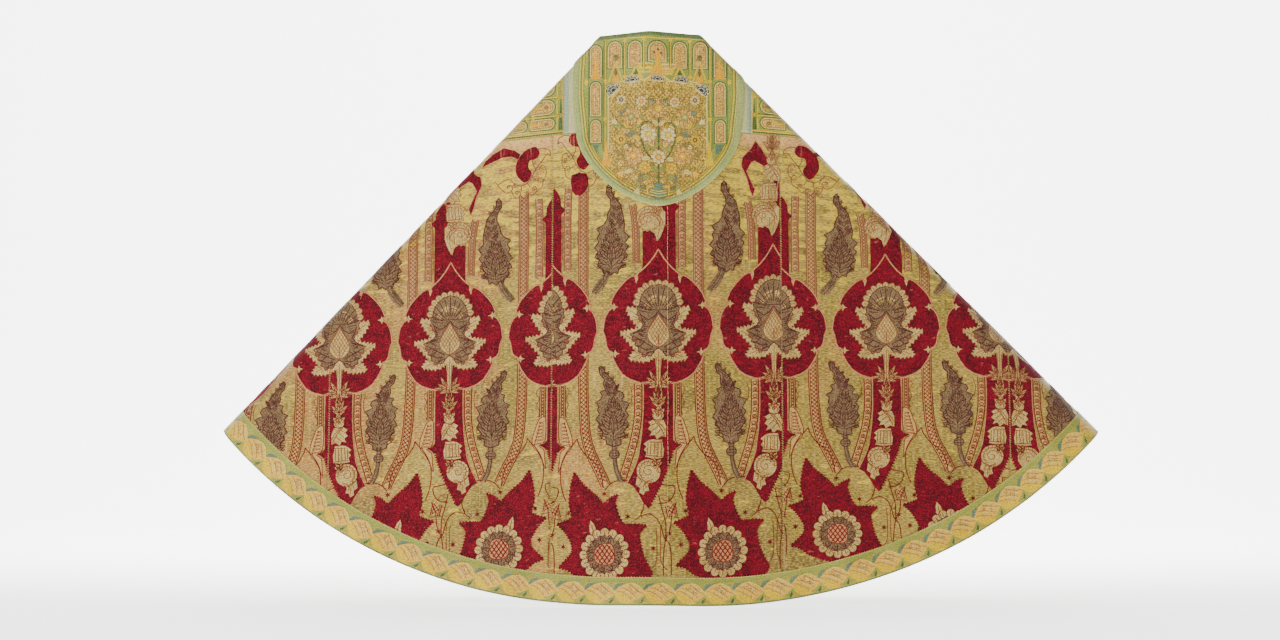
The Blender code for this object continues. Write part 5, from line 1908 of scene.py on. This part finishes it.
def hood_frame():
    """The hood's borders, niches, gables and cusped arch."""
    def border(inset):
        side = [(HOOD_HALF + belly(v) - inset, v) for v in np.arange(0.016, HOOD_STRAIGHT, 0.012)]
        run = [(HOOD_CENTRE + half, v) for half, v in side] + shield(inset)
        return on_paper(run + [(HOOD_CENTRE - half, v) for half, v in side[::-1]])

    outside = on_paper(shield_outline(0.012, 0.004))
    fill(outside, GREEN, 0.0)
    for inset, width, silk, up in ((0.0185, 1.1, PALE, 0.0002), (0.0270, 1.7, YELLOW, 0.0002),
                                   (0.0295, 0.5, DARK, 0.0002), (0.0225, 0.5, DARK, 0.0001)):
        strip(border(inset), width, silk, up)
    for inset, head, width, silk in ((0.0325, 114, 0.8, YELLOW), (0.0350, 116, 0.5, RUST)):
        lower = on_paper(shield(inset))
        strip(lower[lower[:, 1] > head], width, silk, 0.0004)
    fill(block(-60, 3.5, 60, 5.0), DARK, 0.0001)
    strip([(-74, 8.4), (-30, 6.4), (0, 6.2), (30, 6.4), (74, 8.4)], 1.4, YELLOW, 0.0003)
    for x, half, foot in ((-43.8, 6.9, 36.4), (-22.9, 6.6, 36.4), (-0.7, 8.4, 30.5), (21.8, 6.6, 36.4),
                          (42.8, 6.7, 36.4)):
        niche(x, 10.6, foot, half)
    for x in (-33.4, -13.8, 12.4, 32.2):
        pillar(x, 7.0, 52.0 if abs(x) > 20 else 40.0, (9.0, 45.5) if abs(x) > 20 else (8.4, 38.0))
    for x in (-53.6, 52.6):
        pillar(x, 8.0, 126.0, (49.6, 88.0, 122.0))
    for sign, x in ((-1, -63.6), (1, 62.8)):
        niche(x, 14.0, 44.6, 5.6)
        pinnacle(x, 20.0, 47.6, 5.6)
        niche(x, 51.0, 84.4, 5.2)
        niche(x, 89.4, 111.4, 4.9)
        strip([(x - sign * 7.6, 14), (x - sign * 7.6, 118)], 0.6, DARK, 0.0002)
        strip([(x + sign * 7.4, 14), (x + sign * 7.4, 114)], 0.6, DARK, 0.0002)
        fill([(x - 5, 113.6), (x + 5, 113.6), (x + 2, 117.6), (x - sign * 4.6, 124)], TEAL, 0.0001)
        fill(circle(x + sign * 9.6, 50.4, 2.2, 8, 1.2), YELLOW, 0.0004)
        spire = x - sign * 11.6
        fill([(spire - 5.0, 134.4), (spire - 2.4, 122.0), (spire, 108.6), (spire + 2.4, 122.0),
              (spire + 5.0, 134.4)],
             ORANGE if sign < 0 else YELLOW, 0.0006)
    for x in (-42.8, 41.8):
        fill([(x - 8.4, 51.4), (x - 6.2, 51.0), (x, 32.0), (x + 6.2, 51.0), (x + 8.4, 51.4), (x, 28.8)], YELLOW,
             0.0004)
        fill([(x - 4.4, 51.0), (x, 36.6), (x + 4.4, 51.0)], ORANGE, 0.0003)
        fill([(x - 1.8, 42.0), (x, 36.0), (x + 1.8, 42.0), (x, 46.0)], RUST, 0.0005)
        leaf(x, 29.2, UP, 6.4, 4.4, OLIVE, DARK, 0.0004)
        fill([(x - 2.8, 22.4), (x, 24.4), (x + 2.8, 22.4), (x + 1.2, 26.6), (x - 1.2, 26.6)], OLIVE, 0.0004)
    for x, sign in ((-12.8, 1), (11.2, -1)):
        fill([(x - 8.4, 31.6), (x + 8.0, 31.6), (x + sign * 2 + 5.0, 43.4), (x + sign * 2 - 5.4, 43.4)], YELLOW,
             0.0002)
        for number, y in enumerate(np.arange(32.8, 43, 2.2)):
            wide = 7.2 - (y - 32) * 0.28
            middle = x + sign * (y - 32) * 0.18
            strip([(middle - wide, y), (middle + wide, y)], 1.1, PEACH if number % 2 else PALE, 0.0003)
    fill([(-0.6, 17.6), (1.6, 24.0), (2.4, 34.0), (6.4, 42.0), (9.6, 47.6), (12.6, 53.6), (-13.8, 53.6),
          (-10.8, 47.6), (-7.6, 42.0), (-3.6, 34.0), (-2.8, 24.0)], ORANGE, 0.0004)
    for line in ([(-0.6, 20), (-0.6, 46)], [(-10.6, 50), (-4.2, 38), (-0.6, 30)],
                 [(9.4, 50), (3.0, 38), (-0.6, 30)]):
        strip(line, 0.9, YELLOW, 0.00045)
    for x, y in ((-4.2, 21.4), (3.0, 21.4), (-0.6, 18.0)):
        fill(circle(x, y, 1.4, 7), RUST, 0.0005)
    for x in (-21.8, 21.8):
        fill([(x - 9.6, 52), (x - 2.2, 37.2), (x, 35.6), (x + 2.2, 37.2), (x + 9.6, 52)], YELLOW, 0.0003)
        fill([(x - 3.2, 43.8), (x, 37.4), (x + 3.2, 43.8)], DARK, 0.0004)
    field = [(-50.0, 128), (-50.4, 64), (-47.0, 55.0), (-40, 50.6), (-33, 49.6), (-26, 45.4), (-14, 50),
             (-6.8, 44.8), (5.4, 44.8), (13, 50), (25, 45.4), (32, 49.6), (39, 50.6), (46.0, 55.0), (49.4, 64),
             (49.4, 128)]
    bottom_edge = on_paper(shield(0.0365))
    bottom_edge = bottom_edge[bottom_edge[:, 1] > 128]
    fill(field + [tuple(p) for p in bottom_edge], FIELD, 0.0005)
    strip(field, 1.3, PALE, 0.0006)
    for x, y, size, turn in ((-44.2, 59.2, 9.0, 0.95), (-25.4, 49.6, 7.6, 0.15), (-0.7, 48.4, 6.8, 0.0),
                             (23.4, 49.4, 7.4, -0.15), (43.2, 59.0, 9.0, -0.95)):
        for number, (out, silk) in enumerate(((1.0, BLACK), (0.78, BLUE), (0.40, BLACK))):
            rim, place = [], np.array([x, y])
            for lobe in np.linspace(math.pi + 0.1, 2 * math.pi - 0.1, 5):
                middle = place + size * out * 0.72 * (heading(lobe - turn) * (1.0, 0.62))
                for part in np.linspace(-1.5, 1.5, 5):
                    rim.append(middle + size * out * 0.30 * heading(lobe - turn + part))
            rim.append(place + size * out * 0.30 * np.array([math.sin(turn), math.cos(turn)]))
            outlined(rim, silk, 0.6, WHITE, 0.00062 + number * 0.00004, 0.00064 + number * 0.00004)


def hood_lattice():
    """Fine slanting lines both ways across the hood's brocaded field."""
    for start in np.arange(-210, 210, 4.4):
        for sign in (-1, 1):
            line = [(sign * (start + (y - 58) * 0.9), y) for y in np.arange(54, 172, 3.0)]
            line = [(x, y) for x, y in line if abs(x) < 47.0 and y > 53 + abs(x) * 0.16
                    and abs(x) < 50 * math.sqrt(max(0.0, 1 - max(0.0, (y - 118) / 56) ** 2))]
            if len(line) > 2:
                strip(line, 0.45, RUST, 0.00056)


hood_frame()
hood_lattice()
framed = len(DRAFT)
garden(43.0, 60.0, 171.0)
for points, *_ in DRAFT[framed:]:
    points[:, 2] += 0.0004
hood_outline = shield_outline(0.0, 0.0)
hood_cloth, hood_area = cloth_wall("hood_silk", hood_outline, CLOTH_STEP, HOOD_LOW, HOOD_LOW + CLOTH,
                                   ORPHREY_GROUND, LINING)
hood_figure = drafted("hood_figure", on_hood, HOOD_LOW + CLOTH)
for piece in (hood_cloth, hood_figure):
    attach(piece, "root")
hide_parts("hood")

ribbon_low = HOOD_LOW + CLOTH + SEAM
inner = shield_outline(HOOD_RIBBON_WIDTH, 0.0)
corner = HOOD_HALF + belly(0.0)
border = [(HOOD_CENTRE + corner - HOOD_RIBBON_WIDTH, 0.0), (HOOD_CENTRE + corner, 0.0)]
border += [place for place in hood_outline if place[1] > 0.0]
border += [(HOOD_CENTRE - corner, 0.0), (HOOD_CENTRE - corner + HOOD_RIBBON_WIDTH, 0.0)]
border += [place for place in inner if place[1] > 0.0][::-1]
hood_ribbon, area = cloth_wall("hood_ribbon_silk", border, RIBBON_STEP, ribbon_low, ribbon_low + RIBBON,
                               PALE_GREEN, PALE_GREEN)
RIBBON_SILK = sewing_silk("ribbon_sewing_silk", (176, 176, 110), (206, 202, 142))
ribbon_stitches = []
for name, inset in (("inner", HOOD_RIBBON_WIDTH - 0.0004), ("outer", 0.0014)):
    path = [place for place in shield_outline(inset, 0.004) if place[1] > 0.004]
    ribbon_stitches.append(sewn(f"hood_ribbon_{name}_stitches", path, ribbon_low + RIBBON * 0.9, RIBBON_SILK,
                                Pitch=0.0050, Length=0.0036, Thickness=0.0007, Slant=0.9))
for piece in (hood_ribbon, *ribbon_stitches):
    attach(piece, "root")
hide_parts("hood_ribbon")

half = corner - HOOD_RIBBON_WIDTH - SEAM
border = [(u, 0.0) for u in np.linspace(HOOD_CENTRE - half, HOOD_CENTRE + half, 50)]
border += [(u, NECK_RIBBON_WIDTH) for u in np.linspace(HOOD_CENTRE + half, HOOD_CENTRE - half, 50)]
neck_ribbon, area = cloth_wall("neck_ribbon_silk", border, RIBBON_STEP, ribbon_low, ribbon_low + RIBBON,
                               DARK_GREEN, DARK_GREEN)
path = [(u, NECK_RIBBON_WIDTH - 0.0008) for u in np.linspace(HOOD_CENTRE - half, HOOD_CENTRE + half, 50)]
neck_stitches = sewn("neck_ribbon_stitches", path, ribbon_low + RIBBON * 0.9, RIBBON_SILK,
                     Pitch=0.0050, Length=0.0036, Thickness=0.0007, Slant=0.9)
for piece in (neck_ribbon, neck_stitches):
    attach(piece, "root")
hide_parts("neck_ribbon")

# ==== Hem band ================================================================================
# A narrow band woven with overlapping leaves, sewn on the velvet along the hem from one orphrey
# to the other, with a pale green inner edge and a thin grey-blue outer one.
BAND = 0.0015
LEAF_PITCH = 0.0768
HEM_STEP = 2.7  # millimetres in one step of the band's point paper
band_low = CLOTH + SEAM
inner_end = math.sqrt(BAND_EDGE**2 - VELVET_TOP**2)
outline = hem_arc(-widest, widest, CUT_RADIUS, 0.009)[::-1] + hem_arc(-inner_end, inner_end, BAND_EDGE, 0.009)
HEM_GROUND = woven_silk("hem_yellow_green_ground", (156, 138, 44), (176, 156, 60), (116, 110, 40))
hem_cloth, hem_area = cloth_wall(
    "hem_band_silk", outline, CLOTH_STEP, band_low, band_low + BAND, HEM_GROUND, LINING)


def laid(points, silk, lift):
    """A filled shape of the band, given in millimetres."""
    fill(np.asarray(points, float) / HEM_STEP, silk, lift)


def lined(points, width, silk, lift):
    """A line of the band, given in millimetres."""
    strip(np.asarray(points, float) / HEM_STEP, width / HEM_STEP, silk, lift)


HEM_SHAPES = (
    # five shapes of the ground, the leaf, then its two lights: silk, height, outline
    (TEAL, 0.00012, [(-46, 33), (-35, 17), (-12, 13), (-26, 22), (-35, 31)]),
    (SAGE, 0.00008, [(-26, 16), (-8, 13), (20, 13), (34, 19), (41, 28), (26, 21), (8, 15)]),
    (YELLOW, 0.0001, [(-42, 36), (-26, 47), (-12, 57), (6, 61), (14, 66), (-4, 68.4), (-22, 65), (-34, 54)]),
    (GREEN, 0.00014, [(12, 66), (26, 57), (41, 45), (38, 56), (27, 68)]),
    (DARK, 0.00016, [(25, 63), (36, 52), (35, 61), (29, 68)]),
    (GOLDEN, 0.00022, [(-41, 36), (-28, 25), (-14, 17), (2, 14), (17, 18.4), (29, 28), (42, 42), (31, 50),
                       (19, 57.4), (4, 61.4), (-12, 58), (-27, 47.6)]),
    (YELLOW, 0.00025, [(-38, 37), (-27, 37.6), (-12, 46), (4, 57), (2, 61), (-12, 57.4), (-27, 47)]),
    (PEACH, 0.00024, [(-14, 25), (1, 20), (15, 27), (24, 37), (15, 44), (2, 39), (-7, 33)]),
)
HEM_LINES = (
    # the leaf's edges and veins: width, silk, height, points
    (1.8, OLIVE, 0.00027, [(-41, 35), (-28, 24.4), (-14, 16.4), (2, 13.4)]),
    (2.0, PALE, 0.00028, [(3, 14), (17, 18.4), (29, 28), (42, 42)]),
    (1.4, RUST, 0.0003, [(-34, 35), (-22, 37.4), (-9, 45), (5, 56)]),
    (1.3, RUST, 0.0003, [(-24, 26), (-8, 31), (8, 42), (19, 53)]),
    (1.3, RUST, 0.0003, [(-2, 18), (10, 26), (22, 36), (36, 43)]),
    (1.9, PALE, 0.0003, [(-16, 33), (-2, 39), (12, 51)]),
    (1.9, PALE, 0.0003, [(1, 25), (13, 34), (27, 46)]),
    (1.3, OLIVE, 0.0003, [(22, 26), (16, 36), (6, 46), (3, 58)]),
    (1.3, OLIVE, 0.0003, [(5, 17), (-2, 27), (-14, 36), (-17, 49)]),
    (1.8, YELLOW, 0.0003, [(33, 37), (24, 44), (18, 54)]),
)


def hem_leaf(x):
    """One leaf of the band, in millimetres along it and in from its inner edge."""
    for silk, lift, points in HEM_SHAPES:
        laid([(x + along, y) for along, y in points], silk, lift)
    for width, silk, lift, points in HEM_LINES:
        lined([(x + along, y) for along, y in points], width, silk, lift)


def along_hem(x, y):
    """Where steps along the band and in from its inner edge lie on the flat cloth."""
    radius = BAND_EDGE + 0.001 * HEM_STEP * y
    angle = -0.001 * HEM_STEP * x / CUT_RADIUS
    return np.column_stack([-radius * np.sin(angle), radius * np.cos(angle)])


half_run = math.acos((TOP_EDGE + 0.004) / CUT_RADIUS) * CUT_RADIUS * 1000
leaves = int(2 * half_run / (LEAF_PITCH * 1000))
pitch = 2 * half_run / leaves
for number in range(leaves):
    hem_leaf(-half_run + pitch * (number + 0.5))
EDGE_RUN = 60.0  # millimetres of the band's edges drafted at once
for start in np.arange(-half_run, half_run - 1, EDGE_RUN):
    run = np.linspace(start, min(start + EDGE_RUN, half_run), 8)
    lined(all_at(run, 70.6), 2.4, TEAL, 0.0003)
    lined(all_at(run, 12.0), 1.4, GREEN, 0.0003)
    laid(np.vstack([all_at(run, 0.6), all_at(run[::-1], 11.0)]), SAGE, 0.0002)
    lined(all_at(run, 1.2), 1.2, PALE, 0.0003)
hem_figure = drafted("hem_band_figure", along_hem, band_low + BAND)
hem_stitches = sewn("hem_band_stitches", along_hem(np.arange(-half_run, half_run, 10.0) / HEM_STEP, 0.2),
                    band_low + BAND * 0.8, SEAM_SILK, Pitch=0.0070, Length=0.0050, Thickness=0.0009, Slant=1.0)
for piece in (hem_cloth, hem_figure, hem_stitches):
    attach(piece, "root")
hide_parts("hem_band")
